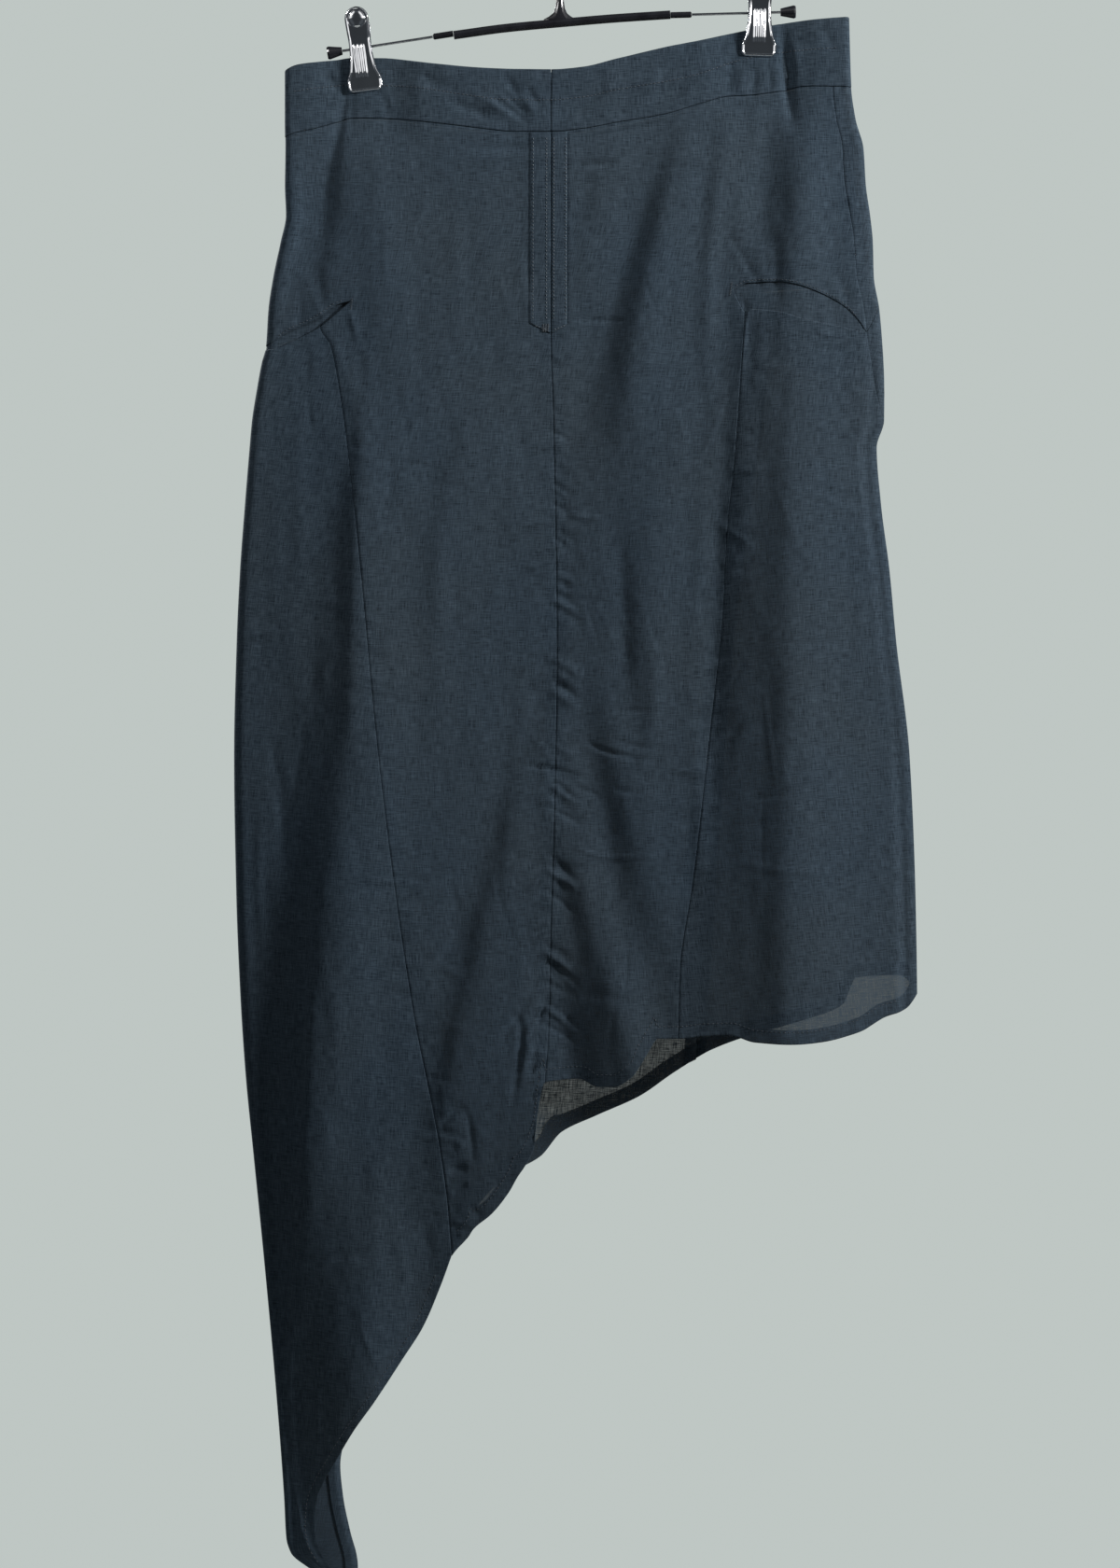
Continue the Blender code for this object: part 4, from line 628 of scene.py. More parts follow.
def at_yoke(edge, side, shift):
    """An edge that is given by how far it lies from a side fold, found by going there step by step."""
    def height(line):
        z = at_level(YOKE_NEAR)(line)
        for _ in range(YOKE_STEPS):
            z = edge(line(z) - side(z))
        return z + shift
    return height


print("front hem runs from", float(front_hem(-80.0)), "to", float(front_hem(270.0)))

# %% [markdown]
# ## Cutting the panels
# Each panel is a grid of points: columns run down between two seams, and rows run across. A
# `chain` of lines names the places across it, because a panel may pass a seam, go round a side
# fold and reach the back. Rows and columns lie closer together at the edges, where cloth turns.

# %% Places across a panel
def chain(*lines):
    """p for span number and share: span 0 runs from the first line to the second, and so on."""
    def place(span, share, z):
        span, share, z = np.broadcast_arrays(span, share, z)
        at = np.array([line(z) for line in lines])
        low = np.take_along_axis(at, span[None], axis=0)[0]
        high = np.take_along_axis(at, span[None] + 1, axis=0)[0]
        return low + (high - low) * share

    return place


FINE_COLUMNS = (0.32, 0.7)              # two more columns beside an edge, in shares of a column


def cut(*counts, first_fine=True, last_fine=True):
    """Span number and share of each column; counts says how many columns each span has."""
    columns = [(k, i / count) for k, count in enumerate(counts) for i in range(count)]
    columns.append((len(counts) - 1, 1.0))
    if first_fine:
        columns[1:1] = [(0, fine / counts[0]) for fine in FINE_COLUMNS]
    if last_fine:
        last = len(counts) - 1
        columns[-1:-1] = [(last, 1.0 - fine / counts[-1]) for fine in reversed(FINE_COLUMNS)]
    return np.array([c[0] for c in columns]), np.array([c[1] for c in columns])


print("columns over two spans:", len(cut(40, 20)[0]))

# %% [markdown]
# A raw edge never shows on a finished garment. Where a panel is sewn, its edge dips into the seam
# and an allowance lies flat behind it, and at a hem the cloth is turned up inside. Both are part of
# the sheet here, so every edge looks as thick as folded cloth, and the hems are darker where light
# has three layers to pass instead of one.

# %% A sheet of cloth as rows and columns
SEAM_FOLD, MOUTH_FOLD, HEM_FOLD, END_FOLD = 8.0, 8.0, 11.0, 6.0
SEAM_LIFT, FOLD_LIFT = -0.9, -0.8       # where the allowances and the turned-up cloth lie
EDGE_DROP = 0.35                        # how far a folded edge sinks
MOST_SLANT = 2.2                        # a turn-up is measured square to its edge, up to that slant
EDGE_MARGIN = 1.4                       # rows lie closer together this near to an edge


class Sheet:
    """Columns by rows of p, z and lift, in mm."""

    def __init__(self, p, z, lift):
        self.p, self.z, self.lift = p, z, lift

    def dip(self, first=0.45, last=0.1, reach=0.65):
        """Sinks the cloth beside the seams at its first and last columns, by that much.

        A seam is pressed to one side, so the piece on that side of it lies a little higher.
        """
        for depth, edge in ((first, self.p[0]), (last, self.p[-1])):
            self.lift = self.lift - depth * np.exp(-(((self.p - edge) / reach) ** 2))
        return self

    def allowance(self, width=SEAM_FOLD, lift=SEAM_LIFT):
        """Adds the cloth that lies folded back behind the seams, as long as the panel.

        The first edge's cloth reaches a little past the seam and lies deeper than the last edge's
        of the next piece, so no light comes through between the two.
        """
        p, z = self.p, self.z
        for edge, steps, deeper in ((0, (-1.6, 0.5 * width, width), 0.25),
                                    (-1, (-0.5, -0.6 * width, -width), 0.0)):
            made = []
            for step in steps:
                new_z = np.array([np.interp(p[edge, k] + step, p[:, k], z[:, k])
                                  for k in range(p.shape[1])])
                new_p = np.interp(-new_z, -z[edge], p[edge]) + step
                made.append((new_p, new_z, np.full(len(new_z), lift - deeper)))
            new = [np.array(part) for part in zip(*made)]
            old = (self.p, self.z, self.lift)
            self.p, self.z, self.lift = (
                np.vstack([a[::-1], b] if edge == 0 else [b, a]) for a, b in zip(new, old))
        return self

    def turned(self, end, height, lift=FOLD_LIFT, keep=slice(None)):
        """The cloth folded in at the last row (end -1) or first row (end 0), as a sheet of its own.

        The height is measured square to the edge, and keep picks the columns.
        """
        x = x_at(self.p[:, end], self.z[:, end])
        run = np.gradient(x)
        slope = np.gradient(self.z[:, end]) / np.where(np.abs(run) < 0.05, 0.05, run)
        square = np.minimum(np.sqrt(1.0 + slope**2), MOST_SLANT)[keep]
        self.lift[keep, end] -= EDGE_DROP
        edge_p, edge_z, edge_lift = self.p[keep, end], self.z[keep, end], self.lift[keep, end]
        steps = np.array([0.0, 0.5, 0.3 * height, 0.65 * height, height])
        z = edge_z[:, None] + (1.0 if end == -1 else -1.0) * square[:, None] * steps
        inner = 1 if end == 0 else -2
        drift = (self.p[keep, inner] - edge_p) / (self.z[keep, inner] - edge_z)
        p = edge_p[:, None] + drift[:, None] * (z - edge_z[:, None])
        lifts = np.where(steps == 0.0, edge_lift[:, None], lift)
        if end == 0:
            return Sheet(p[:, ::-1], z[:, ::-1], lifts[:, ::-1])
        return Sheet(p, z, lifts)


def sheet_between(place, columns, top, bottom, rows, lift=0.0):
    """A sheet whose columns run from a top edge to a bottom edge."""
    span, share = columns

    def line(z):
        return place(span, share, z)

    top_z, bottom_z = top(line)[:, None], bottom(line)[:, None]
    margin = np.minimum(EDGE_MARGIN, 0.3 * (top_z - bottom_z))
    middle = top_z - margin + (bottom_z - top_z + 2.0 * margin) * np.linspace(0.0, 1.0, rows + 1)
    z = np.hstack([top_z, top_z - 0.4 * margin, middle, bottom_z + 0.4 * margin, bottom_z])
    p = place(span[:, None], share[:, None], z)
    return Sheet(p, z, np.full(z.shape, lift))


# %% [markdown]
# The grids of one piece are sewn into one mesh by joining the points that fall together. The UV map
# holds each point's place on the ring in metres, turned by the piece's grain, so that the weave
# keeps its real scale everywhere and runs with the cloth.

# %% A mesh or curve becomes a piece of the skirt
def new_mesh(name, points, faces):
    mesh = bpy.data.meshes.new(name)
    mesh.from_pydata(points.tolist(), [], faces)
    mesh.shade_smooth()
    return mesh


def new_piece(data, material, node=None):
    """Every piece rides on the one body there is, and may stand for a solid's node."""
    data.materials.append(material)
    piece = bpy.data.objects.new(data.name, data)
    bpy.context.collection.objects.link(piece)
    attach(piece, "root")
    if node:
        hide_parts(node)
    return piece


# %% From grids to a mesh
SAME_PLACE = 2e-6                       # points closer than this, in metres, are one


def sewn(name, sheets, material, node, grain=0.0):
    points, flat, faces, start = [], [], [], 0
    for sheet in sheets:
        columns, rows = sheet.p.shape
        points.append(cloth_point(sheet.p, sheet.z, sheet.lift).reshape(-1, 3))
        flat.append(np.stack([sheet.p, sheet.z], axis=-1).reshape(-1, 2) * MM)
        index = start + np.arange(columns * rows).reshape(columns, rows)
        corners = index[:-1, :-1], index[:-1, 1:], index[1:, 1:], index[1:, :-1]
        faces.append(np.stack(corners, axis=-1).reshape(-1, 4))
        start += columns * rows
    points, flat, faces = np.vstack(points), np.vstack(flat), np.vstack(faces)
    _, first, joined = np.unique(np.round(points / SAME_PLACE).astype(np.int64), axis=0,
                                 return_index=True, return_inverse=True)
    faces = joined.reshape(-1)[faces]
    points, flat = points[first], flat[first]
    whole = [face for face in faces.tolist() if len(set(face)) == 4]
    mesh = new_mesh(name, points, whole)
    angle = math.radians(grain)
    turned = flat @ np.array([[math.cos(angle), -math.sin(angle)], [math.sin(angle), math.cos(angle)]])
    corners = np.empty(len(mesh.loops), dtype=np.int32)
    mesh.loops.foreach_get("vertex_index", corners)
    mesh.uv_layers.new(name="cloth").data.foreach_set("uv", turned[corners].astype(np.float32).ravel())
    area = sum(polygon.area for polygon in mesh.polygons)
    print(f"{name}: {2 * len(whole)} triangles, {area:.4f} m2")
    return new_piece(mesh, material, node)


# %% [markdown]
# ## Linen
# The cloth is a thin plain weave of slubby yarn. Up close its threads run both ways, some thicker
# and paler than others, so the material is built from streaks: noise stretched along the warp, and
# noise stretched along the weft. The same streaks set its colour, its bump and how much light comes
# through, because thick threads close the weave and thin ones leave it open.

# %% Helpers for materials
def new_material(name):
    made = bpy.data.materials.new(name)
    made.use_nodes = True
    return made, made.node_tree.nodes, made.node_tree.links, made.node_tree.nodes["Principled BSDF"]


def streaks(nodes, links, source, across, along, detail=2.0, seed=0.0):
    """Noise in cells of that size in metres, as a value from 0 to 1."""
    mapping = nodes.new("ShaderNodeMapping")
    mapping.inputs["Scale"].default_value = (1.0 / across, 1.0 / along, 1.0)
    mapping.inputs["Location"].default_value = (seed, seed * 1.7, seed)
    links.new(source, mapping.inputs["Vector"])
    noise = nodes.new("ShaderNodeTexNoise")
    noise.inputs["Scale"].default_value = 1.0
    noise.inputs["Detail"].default_value = detail
    links.new(mapping.outputs["Vector"], noise.inputs["Vector"])
    return noise.outputs["Fac"]


def combine(nodes, links, operation, first, second):
    node = nodes.new("ShaderNodeMath")
    node.operation = operation
    for socket, value in zip(node.inputs, (first, second)):
        if isinstance(value, (int, float)):
            socket.default_value = value
        else:
            links.new(value, socket)
    return node.outputs["Value"]


def ramp(nodes, links, source, low, high, low_colour, high_colour):
    """Blends two colours as the source goes from low to high."""
    node = nodes.new("ShaderNodeValToRGB")
    node.color_ramp.elements[0].position, node.color_ramp.elements[1].position = low, high
    node.color_ramp.elements[0].color = (*low_colour, 1.0)
    node.color_ramp.elements[1].color = (*high_colour, 1.0)
    links.new(source, node.inputs["Fac"])
    return node.outputs["Color"]


def blended(nodes, links, first, second, mode):
    """Two colours in full, each a socket or a fixed one, multiplied or added."""
    node = nodes.new("ShaderNodeMix")
    node.data_type = "RGBA"
    node.blend_type = mode
    node.inputs["Factor"].default_value = 1.0
    for socket, value in ((node.inputs["A"], first), (node.inputs["B"], second)):
        if isinstance(value, tuple):
            socket.default_value = (*value, 1.0)
        else:
            links.new(value, socket)
    return node.outputs["Result"]


def add_bump(nodes, links, shader, height, strength, distance):
    bump = nodes.new("ShaderNodeBump")
    bump.inputs["Strength"].default_value = strength
    bump.inputs["Distance"].default_value = distance
    links.new(height, bump.inputs["Height"])
    links.new(bump.outputs["Normal"], shader.inputs["Normal"])


# %% The linen's material
LINEN_DARK = (0.0098, 0.0162, 0.0238)
LINEN_PALE = (0.0460, 0.0650, 0.0850)


YARN, SLUB = 0.00062, 0.0012            # how wide the threads and the thick places are, in metres
YARN_BUMP = 0.0006


def linen_material(name, closed, openness):
    """Closed is how much of the light the cloth stops, and openness how much that varies."""
    made, nodes, links, shader = new_material(name)
    place = nodes.new("ShaderNodeUVMap")
    place.uv_map = "cloth"
    uv = place.outputs["UV"]
    warp = streaks(nodes, links, uv, YARN, 0.010, seed=3.0)
    weft = streaks(nodes, links, uv, 0.009, YARN, seed=8.0)
    warp_slubs = streaks(nodes, links, uv, SLUB, 0.045, seed=15.0)
    weft_slubs = streaks(nodes, links, uv, 0.055, SLUB, seed=21.0)
    fine = combine(nodes, links, "ADD", warp, weft)
    thick = combine(nodes, links, "ADD", warp_slubs, weft_slubs)
    weave = combine(nodes, links, "ADD", combine(nodes, links, "MULTIPLY", fine, 0.42),
                    combine(nodes, links, "MULTIPLY", thick, 0.08))
    colour = ramp(nodes, links, weave, 0.36, 0.64, LINEN_DARK, LINEN_PALE)
    slow = streaks(nodes, links, uv, 0.11, 0.16, detail=3.0, seed=30.0)
    tint = ramp(nodes, links, slow, 0.35, 0.65, (0.95, 0.99, 1.02), (1.03, 1.01, 0.98))
    links.new(blended(nodes, links, colour, tint, "MULTIPLY"), shader.inputs["Base Color"])
    open_weave = combine(nodes, links, "MULTIPLY", combine(nodes, links, "SUBTRACT", weave, 0.5), openness)
    alpha = nodes.new("ShaderNodeClamp")
    links.new(combine(nodes, links, "ADD", open_weave, closed), alpha.inputs["Value"])
    links.new(alpha.outputs["Result"], shader.inputs["Alpha"])
    add_bump(nodes, links, shader, weave, 0.35, YARN_BUMP)
    shader.inputs["Roughness"].default_value = 0.85
    shader.inputs["Specular IOR Level"].default_value = 0.05
    shader.inputs["Sheen Weight"].default_value = 0.05
    shader.inputs["Sheen Roughness"].default_value = 0.5
    shader.inputs["Sheen Tint"].default_value = (0.75, 0.85, 0.92, 1.0)
    return made


linen = linen_material("dark linen", closed=0.965, openness=0.4)
dense_linen = linen_material("dark linen of the tail", closed=0.998, openness=0.1)
thin_linen = linen_material("dark linen with light behind it", closed=0.94, openness=0.6)
open_linen = linen_material("dark linen in one open layer", closed=0.93, openness=0.8)
print("linen nodes:", len(linen.node_tree.nodes))

# %% [markdown]
# ## The two fronts
# Each front is cut in one with the hip above its pocket, so it is wide at the top and narrow below.
# The pocket mouth is a slit into it. It is made as an upper and a lower grid with the same columns:
# they are sewn together beyond the mouth's inner end, and stay apart along the mouth itself.

# %% The left front
def at(p):
    return lambda z: np.full(np.shape(z), p)


def first_of(closed, beyond, edge):
    """Heights of an edge, but of the other one for the columns that are closed."""
    return lambda line: np.where(closed, beyond(line), edge(line))


LEFT_START = at(1.0)                    # where the left side fold has turned to the front


def front_left_sheets():
    seam, centre = past(left_seam), up_to(centre_seam)
    upper_columns = cut(8, 24, 14, 88)
    upper = sheet_between(chain(past(side_left), LEFT_START, seam, LEFT_MOUTH_END, centre),
                          upper_columns, at_band, at_mouth(left_mouth_upper), 76).dip()
    mouth = upper_columns[0] < 3
    mouth[np.argmin(mouth)] = True
    upper_fold = upper.turned(-1, MOUTH_FOLD, keep=mouth)
    lower_columns = cut(14, 88)
    top = first_of(lower_columns[0] > 0, at_mouth(left_mouth_upper), at_mouth(left_mouth_lower))
    lower = sheet_between(chain(seam, LEFT_MOUTH_END, centre), lower_columns,
                          top, at_hem(front_hem), 410).dip()
    mouth = lower_columns[0] < 1
    mouth[np.argmin(mouth)] = True
    lower_fold = lower.turned(0, MOUTH_FOLD, keep=mouth)
    hem = lower.turned(-1, HEM_FOLD)
    return [upper.allowance(), upper_fold, lower.allowance(), lower_fold, hem]


front_left = sewn("front_left_cloth", front_left_sheets(), linen, "front_left")


# %% The right front
def front_right_sheets():
    centre, seam = past(centre_seam), up_to(right_seam)
    upper_columns = cut(80, 6, 50)
    upper = sheet_between(chain(centre, RIGHT_MOUTH_END, seam, up_to(side_right)),
                          upper_columns, at_band, at_mouth(right_mouth_upper), 80).dip()
    mouth = upper_columns[0] > 0
    upper_fold = upper.turned(-1, MOUTH_FOLD, keep=mouth)
    lower_columns = cut(80, 6)
    closed = (lower_columns[0] < 1) | (lower_columns[1] == 0.0)
    top = first_of(closed, at_mouth(right_mouth_upper), at_mouth(right_mouth_lower))
    lower = sheet_between(chain(centre, RIGHT_MOUTH_END, seam), lower_columns,
                          top, at_hem(front_hem), 335).dip()
    lower_fold = lower.turned(0, MOUTH_FOLD, keep=lower_columns[0] > 0)
    hem = lower.turned(-1, HEM_FOLD)
    return [upper.allowance(), upper_fold, lower.allowance(), lower_fold, hem]


front_right = sewn("front_right_cloth", front_right_sheets(), linen, "front_right")

# %% [markdown]
# ## The side fronts and the tail
# Below the pockets a side front hangs on each side. The left one runs on down into the tail, where
# its seam ends and its edge is free, so there the allowance becomes a narrow hem. Its grain is cut
# a little off straight, which is why it hangs in long soft folds.

# %% The side fronts
def side_front_left_sheet():
    columns = cut(8, 76)

    def top(line):
        return np.minimum(at_mouth(left_mouth_lower)(line), at_mouth(left_mouth_upper)(line)) - HALF_GAP

    body = sheet_between(chain(past(side_left), LEFT_START, up_to(left_seam)),
                         columns, top, at_level(TAIL_END), 530).dip()
    mouth_fold = body.turned(0, MOUTH_FOLD)
    end_fold = body.turned(-1, END_FOLD)
    return [body.allowance(), mouth_fold, end_fold]


def side_front_right_sheet():
    body = sheet_between(chain(past(right_seam), shifted(side_right, -12.0),
                               up_to(side_right)),
                         cut(94, 10), at_mouth(right_mouth_lower, -HALF_GAP), at_hem(front_hem), 320).dip()
    mouth_fold = body.turned(0, MOUTH_FOLD)
    hem = body.turned(-1, HEM_FOLD)
    return [body.allowance(), mouth_fold, hem]


side_front_left = sewn("side_front_left_cloth", side_front_left_sheet(), dense_linen,
                       "side_front_left", grain=-5.0)
side_front_right = sewn("side_front_right_cloth", side_front_right_sheet(), thin_linen,
                        "side_front_right", grain=4.0)

# %% [markdown]
# ## The back
# The photograph never shows the back, only its inside below the front hem. It is cut as plainly as
# the front allows: one wide panel with both hips, and a side back on each side that starts at hip
# height. The left side back is the other half of the tail.

# %% The back and the side backs
SLANT_HALF_GAP = 0.3
RIGHT_PAST_FOLD = shifted(side_right, 34.0)
LEFT_NEAR_FOLD = shifted(side_left_from_back, -11.0)
right_yoke_edge = at_yoke(right_yoke, side_right, SLANT_HALF_GAP)
left_yoke_edge = at_yoke(left_yoke, side_left_from_back, HALF_GAP)


def back_sheets():
    right, left = past(back_right_seam), up_to(back_left_seam)
    right_edge_z = float(right_yoke_edge(lambda z: right(np.broadcast_to(z, (1,))))[0])
    left_edge_z = float(left_yoke_edge(lambda z: left(np.broadcast_to(z, (1,))))[0])

    def joining(span, share, middle_span):
        """Where the lower part joins on: between the two hips' inner corners."""
        across = np.where(span == middle_span, share, np.where(span < middle_span, 0.0, 1.0))
        return right_edge_z + (left_edge_z - right_edge_z) * across

    upper_columns = cut(14, 10, 110, 8, 5)
    span, share = upper_columns

    def upper_bottom(line):
        z = np.where(span < 2, right_yoke_edge(line), left_yoke_edge(line))
        inner = (span == 2) | ((span == 3) & (share == 0.0))
        return np.where(inner, joining(span, share, 2), z)

    upper = sheet_between(chain(past(side_right), RIGHT_PAST_FOLD, right, left, LEFT_NEAR_FOLD,
                                up_to(side_left_from_back)),
                          upper_columns, at_band, upper_bottom, 56).dip()
    lower_columns = cut(110, first_fine=False, last_fine=False)
    lower = sheet_between(chain(right, left), lower_columns,
                          lambda line: joining(*lower_columns, 0), at_hem(back_hem), 225).dip()
    hem = lower.turned(-1, HEM_FOLD)
    return [upper.allowance(), lower.allowance(), hem]


def side_back_right_sheets():
    body = sheet_between(chain(past(side_right), RIGHT_PAST_FOLD, up_to(back_right_seam)),
                         cut(14, 36), at_yoke(right_yoke, side_right, -SLANT_HALF_GAP),
                         at_hem(back_hem), 190).dip()
    hem = body.turned(-1, HEM_FOLD)
    return [body.allowance(), hem]


def side_back_left_sheets():
    body = sheet_between(chain(past(back_left_seam), LEFT_NEAR_FOLD,
                               up_to(side_left_from_back)),
                         cut(44, 6), at_yoke(left_yoke, side_left_from_back, -HALF_GAP),
                         at_level(TAIL_END), 330).dip()
    end_fold = body.turned(-1, END_FOLD)
    return [body.allowance(), end_fold]


back = sewn("back_cloth", back_sheets(), open_linen, "back_centre")
side_back_right = sewn("side_back_right_cloth", side_back_right_sheets(), thin_linen,
                       "side_back_right", grain=-4.0)
side_back_left = sewn("side_back_left_cloth", side_back_left_sheets(), dense_linen,
                      "side_back_left", grain=5.0)

# %% [markdown]
# ## The waistband
# The band is a strip folded over its own top edge, so it hangs as two layers with a soft ridge
# along the fold. It lies a little proud of the panels, because its seam allowances are inside it.

# %% The waistband
BAND_LIFT, BAND_INSIDE = 0.3, -1.3
BAND_FACING, BAND_FOLD = 42.0, 9.0      # how far the band's cloth goes down inside, and up from its seam


def at_band_bottom(line):
    return meet(line, band_seam, *BAND_BETWEEN) + HALF_GAP


def at_band_top(line):
    return meet(line, band_top, *BAND_BETWEEN)


def band_sheets(place, columns):
    outer = sheet_between(place, columns, at_band_top, at_band_bottom, 26, lift=BAND_LIFT).dip()
    inner = outer.turned(0, BAND_FACING, BAND_INSIDE)
    lower = outer.turned(-1, BAND_FOLD, BAND_INSIDE + 0.5)
    return [outer, inner, lower]


BAND_JOIN = between(past(side_right), RIGHT_PAST_FOLD, 0.5)
band_left = sewn("band_front_left_cloth", band_sheets(
    chain(past(side_left), LEFT_START, left_seam, up_to(centre_seam)), cut(8, 12, 96)),
    linen, "waistband_front_left")
band_right = sewn("band_front_right_cloth", band_sheets(
    chain(past(centre_seam), right_seam, side_right, up_to(BAND_JOIN)), cut(86, 44, 12)),
    linen, "waistband_front_right")
band_back = sewn("band_back_cloth", band_sheets(
    chain(past(BAND_JOIN), RIGHT_PAST_FOLD, back_right_seam, back_left_seam, LEFT_NEAR_FOLD,
          up_to(side_left_from_back)), cut(8, 12, 110, 6, 6)), linen, "waistband_back")

# %% [markdown]
# ## Placket, zip and pocket facings
# Two narrow strips lie on the fronts beside the opening and end in a shared point. Behind the slit
# hangs the zip's tape with its coil, and behind each pocket mouth a facing, so that an open mouth
# shows cloth and not the inside of the skirt.

# %% The placket's strips
STRIP_END, STRIP_POINT, STRIP_LIFT = -328.0, 8.0, 0.7
STRIP_FOLD, STRIP_END_FOLD, STRIP_INSIDE = 4.0, 5.0, 0.15
UNDER_BAND = 0.6                        # how far the strips and the tape stop short of the band


def strip_sheets(first, last, shares, point_at_last):
    """The strip is stitched down along its outer edge, and the cloth sinks in a fine line there."""
    columns = np.zeros(len(shares), int), np.array(shares)

    def bottom(line):
        return STRIP_END - STRIP_POINT * (columns[1] if point_at_last else 1.0 - columns[1])

    strip = sheet_between(chain(shifted(centre_seam, first), shifted(centre_seam, last)), columns,
                          lambda line: at_band(line) - UNDER_BAND, bottom, 84, lift=STRIP_LIFT)
    strip.dip(0.6, 0.0, 0.75)
    if not point_at_last:
        strip.lift = strip.lift - 0.62 * np.exp(-(((strip.p - strip.p[-1] + 0.85) / 0.5) ** 2))
    end = strip.turned(-1, STRIP_END_FOLD, STRIP_INSIDE)
    return [strip.allowance(STRIP_FOLD, STRIP_INSIDE), end]


LEFT_SHARES = (0.0, 0.02, 0.04, 0.08, 0.2, 0.35, 0.5, 0.65, 0.8, 0.9, 0.96, 1.0)
RIGHT_SHARES = (0.0, 0.025, 0.05, 0.1, 0.25, 0.4, 0.55, 0.7, 0.82, 0.91, 0.935, 0.945, 0.96, 0.98, 1.0)
placket_left = sewn("placket_left_cloth", strip_sheets(-16.5, -HALF_GAP, LEFT_SHARES, True), linen,
                    "placket_strip_left")
placket_right = sewn("placket_right_cloth", strip_sheets(HALF_GAP, 14.0, RIGHT_SHARES, False), linen,
                     "placket_strip_right")

# %% The pocket facings
# how deep the left facing lies at the side and its inner end, and the right one the other way round
FACING_LIFTS = (-0.25, -3.4, -1.4, -0.5)
FACING_ABOVE, FACING_BELOW = 12.0, -40.0


def facing_sheets(place, columns, upper, lower, lifts):
    sheet = sheet_between(place, columns, at_mouth(upper, FACING_ABOVE),
                          at_mouth(lower, FACING_BELOW), 34)
    across = np.linspace(0.0, 1.0, len(columns[0]))
    sheet.lift = sheet.lift + (lifts[0] + (lifts[1] - lifts[0]) * across)[:, None]
    return [sheet]


facing_left = sewn("facing_left_cloth", facing_sheets(
    chain(between(past(side_left), LEFT_START, 0.1), left_seam,
          between(left_seam, centre_seam, 0.215)), cut(26, 20),
    left_mouth_upper, left_mouth_lower, FACING_LIFTS[:2]),
    linen, "pocket_facing_left")
facing_right = sewn("facing_right_cloth", facing_sheets(
    chain(between(centre_seam, right_seam, 0.89), right_seam, up_to(side_right)), cut(10, 48),
    right_mouth_upper, right_mouth_lower, FACING_LIFTS[2:]), linen, "pocket_facing_right")

# %% The zip's tape
zip_tape = sewn("zip_tape_cloth", [sheet_between(
    chain(shifted(centre_seam, -11.0), shifted(centre_seam, 11.0)), cut(8),
    lambda line: at_band(line) - UNDER_BAND, at_level(STRIP_END - 4.0), 60, lift=-1.6)],
    linen, "zip_tape")

# %% [markdown]
# ## Stitching
# Topstitching is a row of short thread ends that dive into the cloth, so each stitch is a thin tube
# that arches over it. All the stitches of one piece are worked out together as arrays and become one
# mesh, which keeps a thousand of them cheap.

# %% Thread
THREAD_RADIUS, THREAD_SIDES = 0.27, 5
STITCH_ARCH = np.array([-0.35, 0.10, 0.20, 0.10, -0.35])
STITCH_THICKNESS = np.array([0.55, 1.0, 1.05, 1.0, 0.55])


def stitches_along(line_p, line_z, lift=0.0, pitch=3.1, length=2.3):
    """Five places on each stitch of a row: p, z and lift."""
    distance = np.concatenate([[0.0], np.cumsum(np.hypot(np.diff(line_p), np.diff(line_z)))])
    count = max(int((distance[-1] - length) / pitch), 1)
    at = (pitch * np.arange(count) + 0.3 * pitch)[:, None] + length * np.linspace(0.0, 1.0, 5)
    return (np.interp(at, distance, line_p), np.interp(at, distance, line_z),
            np.broadcast_to(lift + STITCH_ARCH, at.shape))


def unit(vectors):
    return vectors / np.linalg.norm(vectors, axis=-1, keepdims=True)


def tubes(name, centre, across, up, radius):
    """One mesh with a thin tube along each row of centres, which are in mm."""
    angle = 2.0 * math.pi * np.arange(THREAD_SIDES) / THREAD_SIDES
    rings = centre[:, :, None] + radius * (np.cos(angle)[:, None] * across[:, :, None]
                                           + np.sin(angle)[:, None] * up[:, :, None])
    index = np.arange(rings[..., 0].size).reshape(rings.shape[:3])
    after = np.roll(index, -1, axis=2)
    faces = np.stack([index[:, :-1], after[:, :-1], after[:, 1:], index[:, 1:]], axis=-1)
    return new_mesh(name, rings.reshape(-1, 3) * MM, faces.reshape(-1, 4).tolist())


def stitched(name, rows, material):
    p, z, lift = (np.vstack(part) for part in zip(*rows))
    normal = outward(p, z)
    centre = surface(p, z) + normal * lift[..., None]
    across = unit(np.cross(np.gradient(centre, axis=1), normal))
    mesh = tubes(name, centre, across, normal, THREAD_RADIUS * STITCH_THICKNESS[:, None, None])
    print(f"{name}: {len(p)} stitches, {2 * len(mesh.polygons)} triangles")
    return new_piece(mesh, material)


def yarn_material(name, cell, seed, low, high, dark, pale, roughness):
    made, nodes, links, shader = new_material(name)
    place = nodes.new("ShaderNodeTexCoord").outputs["Object"]
    twist = streaks(nodes, links, place, cell, cell, seed=seed)
    links.new(ramp(nodes, links, twist, low, high, dark, pale), shader.inputs["Base Color"])
    shader.inputs["Roughness"].default_value = roughness
    return made


thread = yarn_material("dark thread", 0.0004, 2.0, 0.35, 0.65,
                       (0.012, 0.018, 0.025), (0.034, 0.045, 0.056), 0.55)
worn_thread = yarn_material("worn thread", 0.0004, 2.0, 0.35, 0.65,
                            (0.046, 0.062, 0.077), (0.100, 0.120, 0.136), 0.55)
print("threads:", thread.name, "and", worn_thread.name)

# %% [markdown]
# On this skirt the thread shows best on the waistband, where one row holds the casing, and on the
# placket, which has four rows and a bar tack on its point. The pocket ends have a bar tack each, and
# the hems are stitched along the top of their turn-up.

